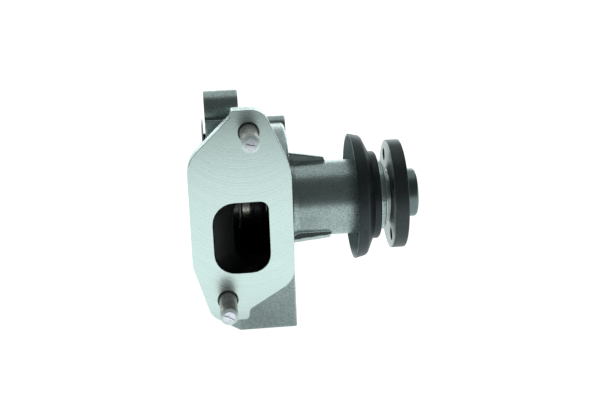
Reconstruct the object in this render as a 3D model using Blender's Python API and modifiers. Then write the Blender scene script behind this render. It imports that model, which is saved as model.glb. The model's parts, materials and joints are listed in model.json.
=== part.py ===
"""Belt-driven engine coolant pump with a side inlet pad.

The shaft lies along X. The origin is the centre of the shaft's front end, which is flush with the hub's
pilot boss, so the whole pump is at negative X. -X faces the engine and -Y is the inlet pad's side.
Lengths below are in millimetres and become metres when a mesh is made.
"""

import math

import bmesh
import bpy
from mathutils import Matrix, Vector

MM = 0.001

# Stations along the shaft
FLANGE_FRONT_X = -8.5
FLANGE_REAR_X = -16.4
HUB_TAIL_X = -21.5
NOSE_FRONT_X = -20.0
SPIGOT_REAR_X = -23.2
DRUM_FRONT_X = -76.0
PLATE_FRONT_X = -110.5
ENGINE_FACE_X = -121.6
SHAFT_REAR_X = -125.6

# Housing
NOSE_R = 22.0
SPIGOT_R = 20.7
DRUM_R = 45.5
PLATE_R = 57.0
BEARING_BORE_R = 17.8
DRAIN_BORE_R = 14.5
SEAL_BORE_R = 15.3
CHAMBER_R = 39.5
EYE_R = 30.0
RECESS_R = 51.2
RECESS_DEPTH = 6.6
BEARING_BORE_REAR_X = -64.5
WEEP_X = -69.5
SEAL_BORE_FRONT_X = -74.5
CHAMBER_FRONT_X = -83.5
CHAMBER_REAR_X = -110.4
TRIM_ALLOWANCE = 2.0
TRIM_STEP = 0.2
CUT_PAST = 20.0
GASKET_RELIEF = 0.5
TOP_BOSS_R = 7.0
TOP_BOSS_Y_Z = (20.0, 39.2)
TOP_BOSS_FRONT_X = -74.5
BLOCK_FRONT_X = -75.7
BLOCK_BOTTOM_Z = -65.3
WEEP_R = 2.5

# Inlet pad, on the side that faces -Y
PAD_Y = -62.0
PAD_THICKNESS = 8.0
PORT_DEPTH_Y = -49.5
STUD_X_Z = ((-99.1, 59.7), (-115.0, -34.4))
STUD_R = 4.8
STUD_LENGTH_OUT = 23.3
STUD_DEPTH_IN = 16.5
STUD_TAP_CLEARANCE = 0.3
STUD_COUNTERBORE_R = 5.6
STUD_COUNTERBORE_DEPTH = 4.0

# Engine bolts: place in Y and Z, and length of the lug along X
BOLT_HOLE_R = 4.4
LUG_R = 10.0
LUGS = ((-18.0, 62.6, 19.0), (57.0, 16.0, 16.0), (27.0, -54.5, 16.0))
LONG_BOLT_Y_Z = (-22.0, -54.0)

# Gussets on the nose: turn from the top about the shaft, radius at the drum and at the tip, and tip's station
GUSSET_HALF_THICKNESS = 2.6
GUSSETS = ((8.0, 28.5, 24.8, -53.8), (-141.3, 26.1, 24.1, -52.6), (115.0, 27.4, 24.0, -53.4))

# Hub
HUB_R = 32.0
PILOT_R = 14.2
HUB_TAIL_R = 14.4
HUB_HOLES = 4
HUB_HOLE_R = 3.35
HUB_HOLE_CIRCLE_R = 24.3
HUB_HOLE_START = math.radians(31)

# Shaft and its double-row bearing
SHAFT_R = 9.0
BALL_R = 3.05
BALL_CIRCLE_R = 11.8
BALLS_PER_ROW = 8
BALL_ROW_X = (-31.5, -54.0)
RACE_OUTER_R = 17.5
RACE_INNER_R = 14.6
RACE_X = (-23.0, -62.5)
RUNNING_GAP = 0.25
GAP = 0.3

# Impeller
IMPELLER_R = 50.5
IMPELLER_PLATE_X = (-122.9, -123.8)
BLADE_FRONT_X = -115.6
BLADES = 7
BUSH_R = 13.0
BUSH_X = (-104.0, -125.0)
BUSH_COLLAR_R = 15.3
BUSH_COLLAR_LENGTH = 1.0
CUP_STEP_X = -101.0
CUP_R = 14.6
MATING_RING_R = 13.6

# Facets of a turned piece, by how large it is
FINE = 56
MEDIUM = 36
COARSE = 28

SHAFT_AXIS = Matrix.Rotation(math.pi / 2, 4, "Y")


def fresh_collection(name):
    """Makes a collection and links it to the scene."""
    collection = bpy.data.collections.new(name)
    bpy.context.scene.collection.children.link(collection)
    return collection


for old in list(bpy.data.objects):
    bpy.data.objects.remove(old, do_unlink=True)
PUMP = fresh_collection("water_pump")
CUTTERS = fresh_collection("cutters")


def finish(name, color, roughness, metallic):
    """A plain material for one part."""
    material = bpy.data.materials.new(name)
    material.use_nodes = True
    shader = material.node_tree.nodes["Principled BSDF"]
    shader.inputs["Base Color"].default_value = (*color, 1.0)
    shader.inputs["Roughness"].default_value = roughness
    shader.inputs["Metallic"].default_value = metallic
    return material


def placed(name, mesh, collection, material=None):
    """Links a mesh as a named object, and hides it from the build when it is a former or a cutter."""
    item = bpy.data.objects.new(name, mesh)
    collection.objects.link(item)
    if material:
        mesh.materials.append(material)
    if collection is CUTTERS:
        item.hide_render = True
        item.display_type = "WIRE"
    return item


def turned(name, profile, steps, collection=CUTTERS, material=None, center=(0.0, 0.0), axis="X"):
    """Turns a closed or an axis-to-axis profile of (station, radius) points about a line along X or Y.

    The profile runs down the outer side first, from the highest station to the lowest.
    """
    points = [(radius * MM, 0.0, station * MM) for station, radius in profile]
    edges = [(i, i + 1) for i in range(len(points) - 1)]
    if profile[0][1] > 0:
        edges.append((len(points) - 1, 0))
    mesh = bpy.data.meshes.new(name)
    mesh.from_pydata(points, edges, [])
    item = placed(name, mesh, collection, material)
    if axis == "X":
        item.matrix_world = Matrix.Translation((0, center[0] * MM, center[1] * MM)) @ SHAFT_AXIS
    else:
        along_y = Matrix.Rotation(-math.pi / 2, 4, "X")
        item.matrix_world = Matrix.Translation((center[0] * MM, 0, center[1] * MM)) @ along_y
    screw = item.modifiers.new("turn", "SCREW")
    screw.axis = "Z"
    screw.steps = steps
    screw.render_steps = steps
    screw.use_merge_vertices = True
    screw.merge_threshold = 0.00001
    screw.use_smooth_shade = True
    return item


def cylinder(name, radius, low, high, center, axis="X", steps=COARSE):
    """A plain round former or cutter between two stations along X or Y."""
    return turned(name, [(high, 0), (high, radius), (low, radius), (low, 0)], steps, center=center, axis=axis)


def rounded(corners, turn_step=15.0):
    """Replaces each (u, v, radius) corner of a closed outline by an arc that is tangent to its sides."""
    outline = []
    count = len(corners)
    for i, (u, v, radius) in enumerate(corners):
        corner = Vector((u, v))
        before = (Vector(corners[i - 1][:2]) - corner).normalized()
        after = (Vector(corners[(i + 1) % count][:2]) - corner).normalized()
        half = before.angle(after) / 2
        if radius <= 0:
            outline.append((u, v))
            continue
        center = corner + (before + after).normalized() * (radius / math.sin(half))
        start = corner + before * (radius / math.tan(half)) - center
        swing = start.angle_signed(corner + after * (radius / math.tan(half)) - center)
        pieces = max(1, round(abs(math.degrees(swing)) / turn_step))
        for k in range(pieces + 1):
            turn = -swing * k / pieces
            spoke = Vector((
                start.x * math.cos(turn) - start.y * math.sin(turn),
                start.x * math.sin(turn) + start.y * math.cos(turn),
            ))
            outline.append(tuple(center + spoke))
    return outline


FACING = {
    "X": Matrix(((0, 0, 1, 0), (1, 0, 0, 0), (0, 1, 0, 0), (0, 0, 0, 1))),
    "Y": Matrix(((1, 0, 0, 0), (0, 0, -1, 0), (0, 1, 0, 0), (0, 0, 0, 1))),
    "Z": Matrix.Identity(4),
}


def flat(name, outline, low, high, axis, collection=CUTTERS, material=None):
    """A flat outline extruded from low to high along an axis, made as a filled 2D curve and then a mesh.

    The outline's (u, v) are (Y, Z) for axis X, (X, Z) for axis Y and (X, Y) for axis Z.
    """
    curve = bpy.data.curves.new(name, "CURVE")
    curve.dimensions = "2D"
    curve.fill_mode = "BOTH"
    curve.extrude = (high - low) / 2 * MM
    spline = curve.splines.new("POLY")
    spline.points.add(len(outline) - 1)
    for point, (u, v) in zip(spline.points, outline):
        point.co = (u * MM, v * MM, 0, 1)
    spline.use_cyclic_u = True
    drawn = bpy.data.objects.new(name + "_outline", curve)
    CUTTERS.objects.link(drawn)
    mesh = bpy.data.meshes.new_from_object(drawn)
    bpy.data.objects.remove(drawn, do_unlink=True)
    weld(mesh)
    item = placed(name, mesh, collection, material)
    middle = (low + high) / 2 * MM
    offset = {"X": (middle, 0, 0), "Y": (0, middle, 0), "Z": (0, 0, middle)}[axis]
    item.matrix_world = Matrix.Translation(offset) @ FACING[axis]
    return item


def weld(mesh):
    """Welds a curve's caps to its sides and turns every face outwards."""
    work = bmesh.new()
    work.from_mesh(mesh)
    bmesh.ops.remove_doubles(work, verts=work.verts, dist=0.000001)
    bmesh.ops.recalc_face_normals(work, faces=work.faces)
    work.to_mesh(mesh)
    work.free()


def box(name, low, high):
    """A plain box former between two corners."""
    work = bmesh.new()
    bmesh.ops.create_cube(work, size=1.0)
    size = [(b - a) * MM for a, b in zip(low, high)]
    bmesh.ops.scale(work, vec=size, verts=work.verts)
    bmesh.ops.translate(work, vec=[(a + b) / 2 * MM for a, b in zip(low, high)], verts=work.verts)
    mesh = bpy.data.meshes.new(name)
    work.to_mesh(mesh)
    work.free()
    return placed(name, mesh, CUTTERS)


def combine(target, other, operation):
    """Adds one exact Boolean to a piece."""
    step = target.modifiers.new(other.name, "BOOLEAN")
    step.operation = operation
    step.solver = "EXACT"
    step.object = other


def crisp(item, degrees=35):
    """Shades a mesh smooth and keeps its real edges sharp."""
    item.data.shade_smooth()
    item.data.set_sharp_from_angle(angle=math.radians(degrees))


def groove(center_x, bottom_r, ball_r, points=5):
    """A ball groove's arc, as (station, radius) points from front to rear. A negative ball_r bulges outwards."""
    reach = math.radians(26)
    arc = []
    for k in range(points):
        turn = reach - 2 * reach * k / (points - 1)
        arc.append((center_x + abs(ball_r) * math.sin(turn), bottom_r + ball_r * (1 - math.cos(turn))))
    return arc


ALUMINIUM = finish("cast_aluminium", (0.46, 0.49, 0.49), 0.45, 0.9)
HUB_BLACK = finish("hub_black", (0.03, 0.035, 0.04), 0.45, 0.2)
RING_BLACK = finish("ring_black", (0.025, 0.03, 0.035), 0.5, 0.2)
STUD_STEEL = finish("stud_steel", (0.36, 0.31, 0.27), 0.35, 1.0)
SHAFT_STEEL = finish("shaft_steel", (0.55, 0.55, 0.55), 0.25, 1.0)
RACE_STEEL = finish("race_steel", (0.5, 0.5, 0.5), 0.3, 1.0)
BALL_STEEL = finish("ball_steel", (0.7, 0.7, 0.7), 0.15, 1.0)
CAGE_POLYMER = finish("cage_polymer", (0.45, 0.36, 0.2), 0.5, 0.0)
SEAL_RUBBER = finish("seal_rubber", (0.02, 0.02, 0.02), 0.7, 0.0)
SLINGER_STEEL = finish("slinger_steel", (0.4, 0.4, 0.4), 0.4, 1.0)
CASE_STEEL = finish("case_steel", (0.6, 0.58, 0.52), 0.3, 1.0)
SPRING_STEEL = finish("spring_steel", (0.55, 0.55, 0.55), 0.3, 1.0)
CARBON = finish("carbon", (0.03, 0.03, 0.03), 0.4, 0.0)
CERAMIC = finish("ceramic", (0.06, 0.062, 0.066), 0.25, 0.0)
IMPELLER_STEEL = finish("impeller_steel", (0.28, 0.3, 0.31), 0.4, 1.0)
BUSH_STEEL = finish("bush_steel", (0.4, 0.41, 0.42), 0.35, 1.0)


def pad_outline():
    """The machined pad's outline in X and Z: two stud ears set diagonally across a straight-sided middle."""
    return rounded([
        (-107.7, 71.9, 0.8), (-108.6, 68.2, 0.5), (-132.6, 45.4, 18), (-132.9, -13.8, 6),
        (-123.6, -46.6, 9), (-103.9, -46.6, 2.2), (-103.3, -40.8, 3.2), (-77.6, -25.2, 14),
        (-77.4, 39.0, 26), (-91.5, 71.9, 9.5),
    ])


def port_outline(grow=0.0, low_x=-120.9, high_x=-90.4):
    """The D-shaped port in X and Z: a small radius at its upper front corner and large ones elsewhere."""
    low_z, high_z = -19.0, 21.3
    return rounded([
        (low_x - grow, low_z - grow, 11.5 + grow), (high_x + grow, low_z - grow, 10.5 + grow),
        (high_x + grow, high_z + grow, 4.5 + grow), (low_x - grow, high_z + grow, 12 + grow),
    ])


def port_passage():
    """The port's passage: it narrows away from the engine face on its way in and then runs to the chamber."""
    mouth = port_outline()
    throat = port_outline(low_x=-109.5, high_x=-85.0)
    stations = ((PAD_Y - 1.0, mouth), (PAD_Y + 1.5, mouth), (PORT_DEPTH_Y, throat), (-12.0, throat))
    work = bmesh.new()
    loops = [[work.verts.new((u * MM, y * MM, v * MM)) for u, v in outline] for y, outline in stations]
    count = len(mouth)
    for near, far in zip(loops, loops[1:]):
        for i in range(count):
            work.faces.new((near[i], near[(i + 1) % count], far[(i + 1) % count], far[i]))
    work.faces.new(loops[0])
    work.faces.new(loops[-1])
    bmesh.ops.recalc_face_normals(work, faces=work.faces)
    mesh = bpy.data.meshes.new("port_passage")
    work.to_mesh(mesh)
    work.free()
    return placed("port_passage", mesh, CUTTERS)


def lug(index, y, z, length):
    """One engine bolt lug with a web that ties it to the flange plate."""
    rear = ENGINE_FACE_X - TRIM_ALLOWANCE - TRIM_STEP * (2 * index + 3)
    head = cylinder(f"lug_{index}", LUG_R, rear, ENGINE_FACE_X + length, (y, z))
    away = Vector((y, z)).normalized()
    side = Vector((-away.y, away.x)) * (LUG_R - 1.0)
    outer = Vector((y, z))
    inner = away * (PLATE_R - 12.0)
    corners = [outer + side, outer - side, inner - side, inner + side]
    front = PLATE_FRONT_X - 0.7 - TRIM_STEP * index
    web = flat(f"lug_web_{index}", [tuple(c) for c in corners], rear - TRIM_STEP, front, "X")
    return head, web


def gusset(index, turn, root_r, tip_r, tip_x):
    """One stiffening rib between the drum and the nose, highest at the drum and blunt at its tip."""
    low_r, root_x = NOSE_R - 2.5, DRUM_FRONT_X + 1.0
    side = [(root_x - 2.0, low_r), (tip_x + 1.2, low_r), (tip_x, tip_r), (root_x, root_r), (root_x - 2.0, root_r)]
    rib = flat(f"gusset_{index}", side, -GUSSET_HALF_THICKNESS, GUSSET_HALF_THICKNESS, "Y")
    rib.matrix_world = Matrix.Rotation(-math.radians(turn), 4, "X") @ rib.matrix_world
    return rib


def housing():
    """The cast and machined body."""
    rear = ENGINE_FACE_X - TRIM_ALLOWANCE
    body = turned("pump_housing", [
        (NOSE_FRONT_X, 0), (NOSE_FRONT_X, SPIGOT_R - 0.6), (NOSE_FRONT_X - 0.6, SPIGOT_R),
        (SPIGOT_REAR_X, SPIGOT_R), (SPIGOT_REAR_X, NOSE_R),
        (DRUM_FRONT_X + 5.0, NOSE_R), (DRUM_FRONT_X + 1.5, NOSE_R + 1.5), (DRUM_FRONT_X, NOSE_R + 5.0),
        (DRUM_FRONT_X, DRUM_R - 1.0), (DRUM_FRONT_X - 1.0, DRUM_R),
        (rear, DRUM_R), (rear, 0),
    ], FINE, PUMP, ALUMINIUM)
    block_left, block_near = -108.7, -36.0
    block = rounded([
        (rear, -6.0, 0), (rear, -12.0, 4), (-117.0, -25.0, 9), (block_left, block_near, 0),
        (BLOCK_FRONT_X, block_near, 0.8), (BLOCK_FRONT_X, -6.0, 0),
    ])
    formers = [
        cylinder("flange_plate", PLATE_R, rear - TRIM_STEP, PLATE_FRONT_X, (0, 0), steps=FINE),
        flat("corner_block", rounded([(-30.0, 30.0, 0), (-6.0, 30.0, 0), (-6.0, 58.9, 0), (-30.0, 58.9, 0.8)]),
             rear - 2 * TRIM_STEP, -104.0, "X"),
        flat("lower_block", block, BLOCK_BOTTOM_Z, -26.0, "Z"),
        flat("port_neck", port_outline(grow=4.0, low_x=-115.0, high_x=-86.0), PAD_Y + 3.0, -20.0, "Y"),
        flat("inlet_pad", pad_outline(), PAD_Y, PAD_Y + PAD_THICKNESS, "Y"),
        cylinder("upper_stud_boss", 7.8, PAD_Y + 4.0, -43.0, STUD_X_Z[0], "Y"),
        cylinder("lower_stud_boss", 10.5, PAD_Y + 4.0, -16.0, STUD_X_Z[1], "Y"),
        box("upper_rib", (-102.4, PAD_Y + 4.0, 20.0), (-95.8, -18.0, 56.0)),
        cylinder("top_boss", TOP_BOSS_R, -98.0, TOP_BOSS_FRONT_X, TOP_BOSS_Y_Z),
    ]
    for index, (y, z, length) in enumerate(LUGS):
        formers.extend(lug(index, y, z, length))
    for index, (turn, root_r, tip_r, tip_x) in enumerate(GUSSETS):
        formers.append(gusset(index, turn, root_r, tip_r, tip_x))
    for former in formers:
        combine(body, former, "UNION")
    drain = cylinder("weep_hole", WEEP_R, -40.0, 0.0, (0, 0), steps=16)
    drain.matrix_world = Matrix.Translation((WEEP_X * MM, 0, 0))
    cutters = [
        box("face_trim", (ENGINE_FACE_X - CUT_PAST, PAD_Y + PAD_THICKNESS, -90.0), (ENGINE_FACE_X, 90.0, 90.0)),
        box("gasket_relief", (ENGINE_FACE_X - CUT_PAST, PAD_Y + PAD_THICKNESS, -90.0),
            (ENGINE_FACE_X + GASKET_RELIEF, PAD_Y + PAD_THICKNESS + 3 * GASKET_RELIEF, 90.0)),
        turned("bore_stack", [
            (NOSE_FRONT_X + 1.0, 0), (NOSE_FRONT_X + 1.0, BEARING_BORE_R), (BEARING_BORE_REAR_X, BEARING_BORE_R),
            (BEARING_BORE_REAR_X, DRAIN_BORE_R), (SEAL_BORE_FRONT_X, DRAIN_BORE_R),
            (SEAL_BORE_FRONT_X, SEAL_BORE_R), (CHAMBER_FRONT_X, SEAL_BORE_R),
            (CHAMBER_FRONT_X, CHAMBER_R - 5.0), (CHAMBER_FRONT_X - 5.0, CHAMBER_R), (CHAMBER_REAR_X, CHAMBER_R),
            (CHAMBER_REAR_X, EYE_R), (ENGINE_FACE_X + RECESS_DEPTH, EYE_R),
            (ENGINE_FACE_X + RECESS_DEPTH, RECESS_R), (ENGINE_FACE_X - 1.0, RECESS_R), (ENGINE_FACE_X - 1.0, 0),
        ], MEDIUM),
        port_passage(),
        drain,
        cylinder("long_bolt_hole", BOLT_HOLE_R, ENGINE_FACE_X - CUT_PAST, BLOCK_FRONT_X + CUT_PAST,
                 LONG_BOLT_Y_Z, steps=20),
    ]
    for index, (y, z, length) in enumerate(LUGS):
        ends = (ENGINE_FACE_X - CUT_PAST, ENGINE_FACE_X + length + CUT_PAST / 2)
        cutters.append(cylinder(f"bolt_hole_{index}", BOLT_HOLE_R, *ends, (y, z), steps=20))
    for index, place in enumerate(STUD_X_Z):
        wide, tight = STUD_COUNTERBORE_R, STUD_R + STUD_TAP_CLEARANCE
        step_y, end_y = PAD_Y + STUD_COUNTERBORE_DEPTH, PAD_Y + STUD_DEPTH_IN + STUD_TAP_CLEARANCE
        cutters.append(turned(f"stud_hole_{index}", [
            (end_y, 0), (end_y, tight), (step_y, tight), (step_y, wide), (PAD_Y - 1.0, wide), (PAD_Y - 1.0, 0),
        ], 24, center=place, axis="Y"))
    for cutter in cutters:
        combine(body, cutter, "DIFFERENCE")
    crisp(body)


def stud(name, place):
    """A stud that stands out of the pad, with a chamfered end and a turned groove near it."""
    tip = PAD_Y - STUD_LENGTH_OUT
    root = PAD_Y + STUD_DEPTH_IN
    turned(name, [
        (root, 0), (root, STUD_R - 0.8), (root - 0.8, STUD_R), (tip + 2.2, STUD_R), (tip + 1.9, STUD_R - 0.35),
        (tip + 1.4, STUD_R - 0.35), (tip + 1.1, STUD_R - 0.1), (tip, STUD_R - 1.15), (tip, 0),
    ], 24, PUMP, STUD_STEEL, center=place, axis="Y")


def cover_ring():
    """The stepped ring that sits on the nose, open towards the engine."""
    wall = 1.3
    seat = NOSE_R + GAP
    turned("cover_ring", [
        (-23.4, seat), (-23.4, 25.0), (-24.3, 25.9), (-27.4, 25.9), (-29.9, 31.3), (-31.4, 34.6), (-32.6, 35.6),
        (-38.4, 37.0), (-38.4, 37.0 - wall), (-33.2, 35.6 - wall), (-32.2, 33.4), (-30.9, 30.6),
        (-28.6, 25.0), (-28.6, seat),
    ], FINE, PUMP, RING_BLACK)


def hub():
    """The pulley hub: flange, pilot boss and tail, with four tapped holes."""
    inner = SHAFT_R + GAP
    body = turned("hub_flange", [
        (0.0, inner), (0.0, PILOT_R - 1.0), (-1.0, PILOT_R), (FLANGE_FRONT_X, PILOT_R),
        (FLANGE_FRONT_X, HUB_R - 0.8), (FLANGE_FRONT_X - 0.8, HUB_R), (FLANGE_REAR_X + 0.5, HUB_R),
        (FLANGE_REAR_X, HUB_R - 0.5), (FLANGE_REAR_X, HUB_TAIL_R), (HUB_TAIL_X + 0.8, HUB_TAIL_R),
        (HUB_TAIL_X, HUB_TAIL_R - 0.8), (HUB_TAIL_X, inner),
    ], FINE, PUMP, HUB_BLACK)
    for k in range(HUB_HOLES):
        turn = HUB_HOLE_START + 2 * math.pi * k / HUB_HOLES
        place = (HUB_HOLE_CIRCLE_R * math.sin(turn), HUB_HOLE_CIRCLE_R * math.cos(turn))
        hole = cylinder(f"hub_hole_{k}", HUB_HOLE_R, FLANGE_REAR_X - 2, FLANGE_FRONT_X + 2, place, steps=16)
        combine(body, hole, "DIFFERENCE")
    crisp(body)


def shaft():
    """The bearing shaft, with a ground groove for each row of balls."""
    bottom = BALL_CIRCLE_R - BALL_R - RUNNING_GAP
    profile = [(0.0, 0), (0.0, SHAFT_R - 0.6), (-0.6, SHAFT_R)]
    for row in BALL_ROW_X:
        profile.extend(groove(row, bottom, BALL_R + RUNNING_GAP))
    profile.extend([(SHAFT_REAR_X + 0.8, SHAFT_R), (SHAFT_REAR_X, SHAFT_R - 0.8), (SHAFT_REAR_X, 0)])
    turned("bearing_shaft", profile, MEDIUM, PUMP, SHAFT_STEEL)


def outer_race():
    """The bearing's outer ring, a plain sleeve outside with two grooves inside."""
    front, rear = RACE_X
    top = BALL_CIRCLE_R + BALL_R + RUNNING_GAP
    profile = [
        (front, RACE_INNER_R), (front, RACE_OUTER_R - 0.6), (front - 0.6, RACE_OUTER_R),
        (rear + 0.6, RACE_OUTER_R), (rear, RACE_OUTER_R - 0.6), (rear, RACE_INNER_R),
    ]
    for row in reversed(BALL_ROW_X):
        profile.extend(reversed(groove(row, top, -(BALL_R + RUNNING_GAP))))
    turned("bearing_outer_ring", profile, MEDIUM, PUMP, RACE_STEEL)


def cage_profile(center):
    """The cage's plain ring section."""
    half, inner, outer = 4.6, BALL_CIRCLE_R - 1.1, BALL_CIRCLE_R + 1.1
    return [
        (center + half, inner), (center + half, outer), (center - half, outer), (center - half, inner),
    ]


def ball_row(label, center):
    """One row of balls and the cage that spaces them, on an empty at the row's place on the shaft axis."""
    pivot = bpy.data.objects.new(f"{label}_cage_axis", None)
    pivot.location = (center * MM, 0, 0)
    PUMP.objects.link(pivot)
    cage = turned(f"{label}_cage", cage_profile(center), MEDIUM, PUMP, CAGE_POLYMER)
    pocket = BALL_R + 0.35
    work = bmesh.new()
    bmesh.ops.create_uvsphere(work, u_segments=10, v_segments=7, radius=BALL_R * MM)
    ball_mesh = bpy.data.meshes.new(f"{label}_ball")
    work.to_mesh(ball_mesh)
    work.free()
    ball_mesh.materials.append(BALL_STEEL)
    ball_mesh.shade_smooth()
    items = [cage]
    for k in range(BALLS_PER_ROW):
        turn = 2 * math.pi * k / BALLS_PER_ROW
        spin = Matrix.Translation((center * MM, 0, 0)) @ Matrix.Rotation(turn, 4, "X")
        cutter = cylinder(f"{label}_pocket_{k}", pocket, -20.0, -8.0, (0, 0), "Y", steps=14)
        cutter.matrix_world = spin @ cutter.matrix_world
        combine(cage, cutter, "DIFFERENCE")
        ball = placed(f"{label}_ball_{k + 1}", ball_mesh, PUMP)
        ball.matrix_world = spin @ Matrix.Translation((0, -BALL_CIRCLE_R * MM, 0))
        items.append(ball)
    bpy.context.view_layer.update()
    for item in items:
        world = item.matrix_world.copy()
        item.parent = pivot
        item.matrix_parent_inverse = pivot.matrix_world.inverted()
        item.matrix_world = world
    crisp(cage)


def bearing_seal(name, outward_x, inward_x):
    """A bearing's lip seal: a rubber ring that closes the gap between the sleeve and the shaft."""
    front, rear = max(outward_x, inward_x), min(outward_x, inward_x)
    outer, inner = RACE_INNER_R - GAP, SHAFT_R + GAP
    turned(name, [
        (front, inner + 0.8), (front, outer), (rear, outer), (rear, inner + 0.8), ((front + rear) / 2, inner),
    ], COARSE, PUMP, SEAL_RUBBER)


def plain_ring(name, front, rear, inner, outer, material, steps=MEDIUM, chamfer=0.3):
    """A turned ring of rectangular section with its outer edges chamfered."""
    turned(name, [
        (front, inner), (front, outer - chamfer), (front - chamfer, outer), (rear + chamfer, outer),
        (rear, outer - chamfer), (rear, inner),
    ], steps, PUMP, material)


def seal_case():
    """The drawn cup of the coolant seal: a flange on the chamber wall and a cup in the seal bore."""
    outer, wall = SEAL_BORE_R - GAP, 0.8
    rim = CHAMBER_FRONT_X - GAP
    turned("seal_case", [
        (-75.2, 11.4), (-75.2, outer - 0.6), (-75.8, outer), (rim, outer), (rim, 18.4), (rim - wall, 18.4),
        (rim - wall, outer - wall), (-76.3, outer - wall), (-76.0, outer - wall - 0.6), (-76.0, 11.4),
    ], MEDIUM, PUMP, CASE_STEEL)


def seal_bellows():
    """The rubber bellows between the case and the carbon ring, with three soft folds."""
    inner, front, rear, folds = SHAFT_R + 0.7, -76.4, -91.4, 3
    crest, root, wall = 12.0, 10.9, 1.0
    outside = [(front, crest)]
    for k in range(folds):
        at = front - (k + 0.5) * (front - rear) / folds
        outside.extend([(at + 1.2, root), (at - 1.2, root)])
        outside.append((front - (k + 1) * (front - rear) / folds, crest))
    turned("seal_bellows", [(front, inner)] + outside + [(rear, inner), (rear + wall, inner)],
           COARSE, PUMP, SEAL_RUBBER)


def seal_spring():
    """The coil spring round the bellows."""
    wire, radius, turns, front, rear, per_turn = 0.45, 12.95, 4.0, -77.0, -91.0, 14
    curve = bpy.data.curves.new("seal_spring", "CURVE")
    curve.dimensions = "3D"
    curve.bevel_depth = wire * MM
    curve.bevel_resolution = 1
    curve.use_fill_caps = True
    spline = curve.splines.new("POLY")
    count = int(turns * per_turn) + 1
    spline.points.add(count - 1)
    for k, point in enumerate(spline.points):
        turn = 2 * math.pi * k / per_turn
        along = front + (rear - front) * k / (count - 1)
        point.co = (along * MM, radius * math.cos(turn) * MM, radius * math.sin(turn) * MM, 1)
    curve.materials.append(SPRING_STEEL)
    item = bpy.data.objects.new("seal_spring", curve)
    PUMP.objects.link(item)


def mechanical_seal():
    """The coolant seal: the still half in the housing and the turning half in its cup on the shaft."""
    seal_case()
    seal_bellows()
    seal_spring()
    plain_ring("carbon_ring", -91.8, -96.4, SHAFT_R + 1.0, 13.8, CARBON)
    plain_ring("mating_ring", -96.7, -100.7, SHAFT_R + 1.9, MATING_RING_R, CERAMIC)
    rear = BUSH_X[0] + GAP
    turned("mating_cup", [
        (-99.4, SHAFT_R + GAP), (-99.4, SHAFT_R + 1.6), (CUP_STEP_X, SHAFT_R + 1.6),
        (CUP_STEP_X, MATING_RING_R + GAP), (-98.6, MATING_RING_R + GAP), (-98.6, CUP_R), (rear, CUP_R),
        (rear, SHAFT_R + GAP),
    ], MEDIUM, PUMP, CASE_STEEL)


def blade_outline(turn):
    """One blade's strip in Y and Z: it leans back from its inner end to its outer end."""
    inner_r, outer_r, lean, thickness, points = 19.0, 46.0, math.radians(48), 1.2, 7
    near, far = [], []
    for k in range(points):
        share = k / (points - 1)
        radius = inner_r + (outer_r - inner_r) * share
        angle = turn + lean * share ** 1.3
        half = thickness / 2 / radius
        near.append((radius * math.cos(angle - half), radius * math.sin(angle - half)))
        far.append((radius * math.cos(angle + half), radius * math.sin(angle + half)))
    return near + far[::-1]


def impeller():
    """The stamped plate with its blades, and the steel bush that carries it."""
    front, rear = IMPELLER_PLATE_X
    hole = BUSH_R - 2.2 + GAP
    plate = turned("impeller", [
        (front, hole), (front, IMPELLER_R - 0.3), (front - 0.3, IMPELLER_R), (rear + 0.3, IMPELLER_R),
        (rear, IMPELLER_R - 0.3), (rear, hole),
    ], FINE, PUMP, IMPELLER_STEEL)
    for k in range(BLADES):
        outline = blade_outline(2 * math.pi * k / BLADES)
        combine(plate, flat(f"blade_{k}", outline, front - 0.4, BLADE_FRONT_X, "X"), "UNION")
    crisp(plate)
    step, collar_rear = front + GAP, BUSH_X[0] - BUSH_COLLAR_LENGTH
    turned("impeller_bush", [
        (BUSH_X[0], SHAFT_R + GAP), (BUSH_X[0], BUSH_COLLAR_R), (collar_rear, BUSH_COLLAR_R),
        (collar_rear, BUSH_R), (step, BUSH_R), (step, BUSH_R - 2.2), (BUSH_X[1], BUSH_R - 2.2),
        (BUSH_X[1], SHAFT_R + GAP),
    ], MEDIUM, PUMP, BUSH_STEEL)


housing()
stud("upper_stud", STUD_X_Z[0])
stud("lower_stud", STUD_X_Z[1])
cover_ring()
hub()
shaft()
outer_race()
bearing_seal("front_bearing_seal", RACE_X[0] - 0.3, RACE_X[0] - 2.1)
bearing_seal("rear_bearing_seal", RACE_X[1] + 0.3, RACE_X[1] + 2.1)
ball_row("front", BALL_ROW_X[0])
ball_row("rear", BALL_ROW_X[1])
plain_ring("water_slinger", -67.0, -68.6, SHAFT_R + GAP, 13.2, SLINGER_STEEL)
mechanical_seal()
impeller()
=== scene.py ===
"""Looks for a belt-driven engine coolant pump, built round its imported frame.

The shaft lies along X with its front end at the origin, the engine is towards -X and the inlet pad faces -Y.
Sizes in the classes are in millimetres and become metres when a mesh is made.
"""

import json
import logging
import math
from dataclasses import dataclass, field
from enum import Enum
from typing import Iterable, Optional, Sequence

import bmesh
import bpy
from mathutils import Matrix, Vector

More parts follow.
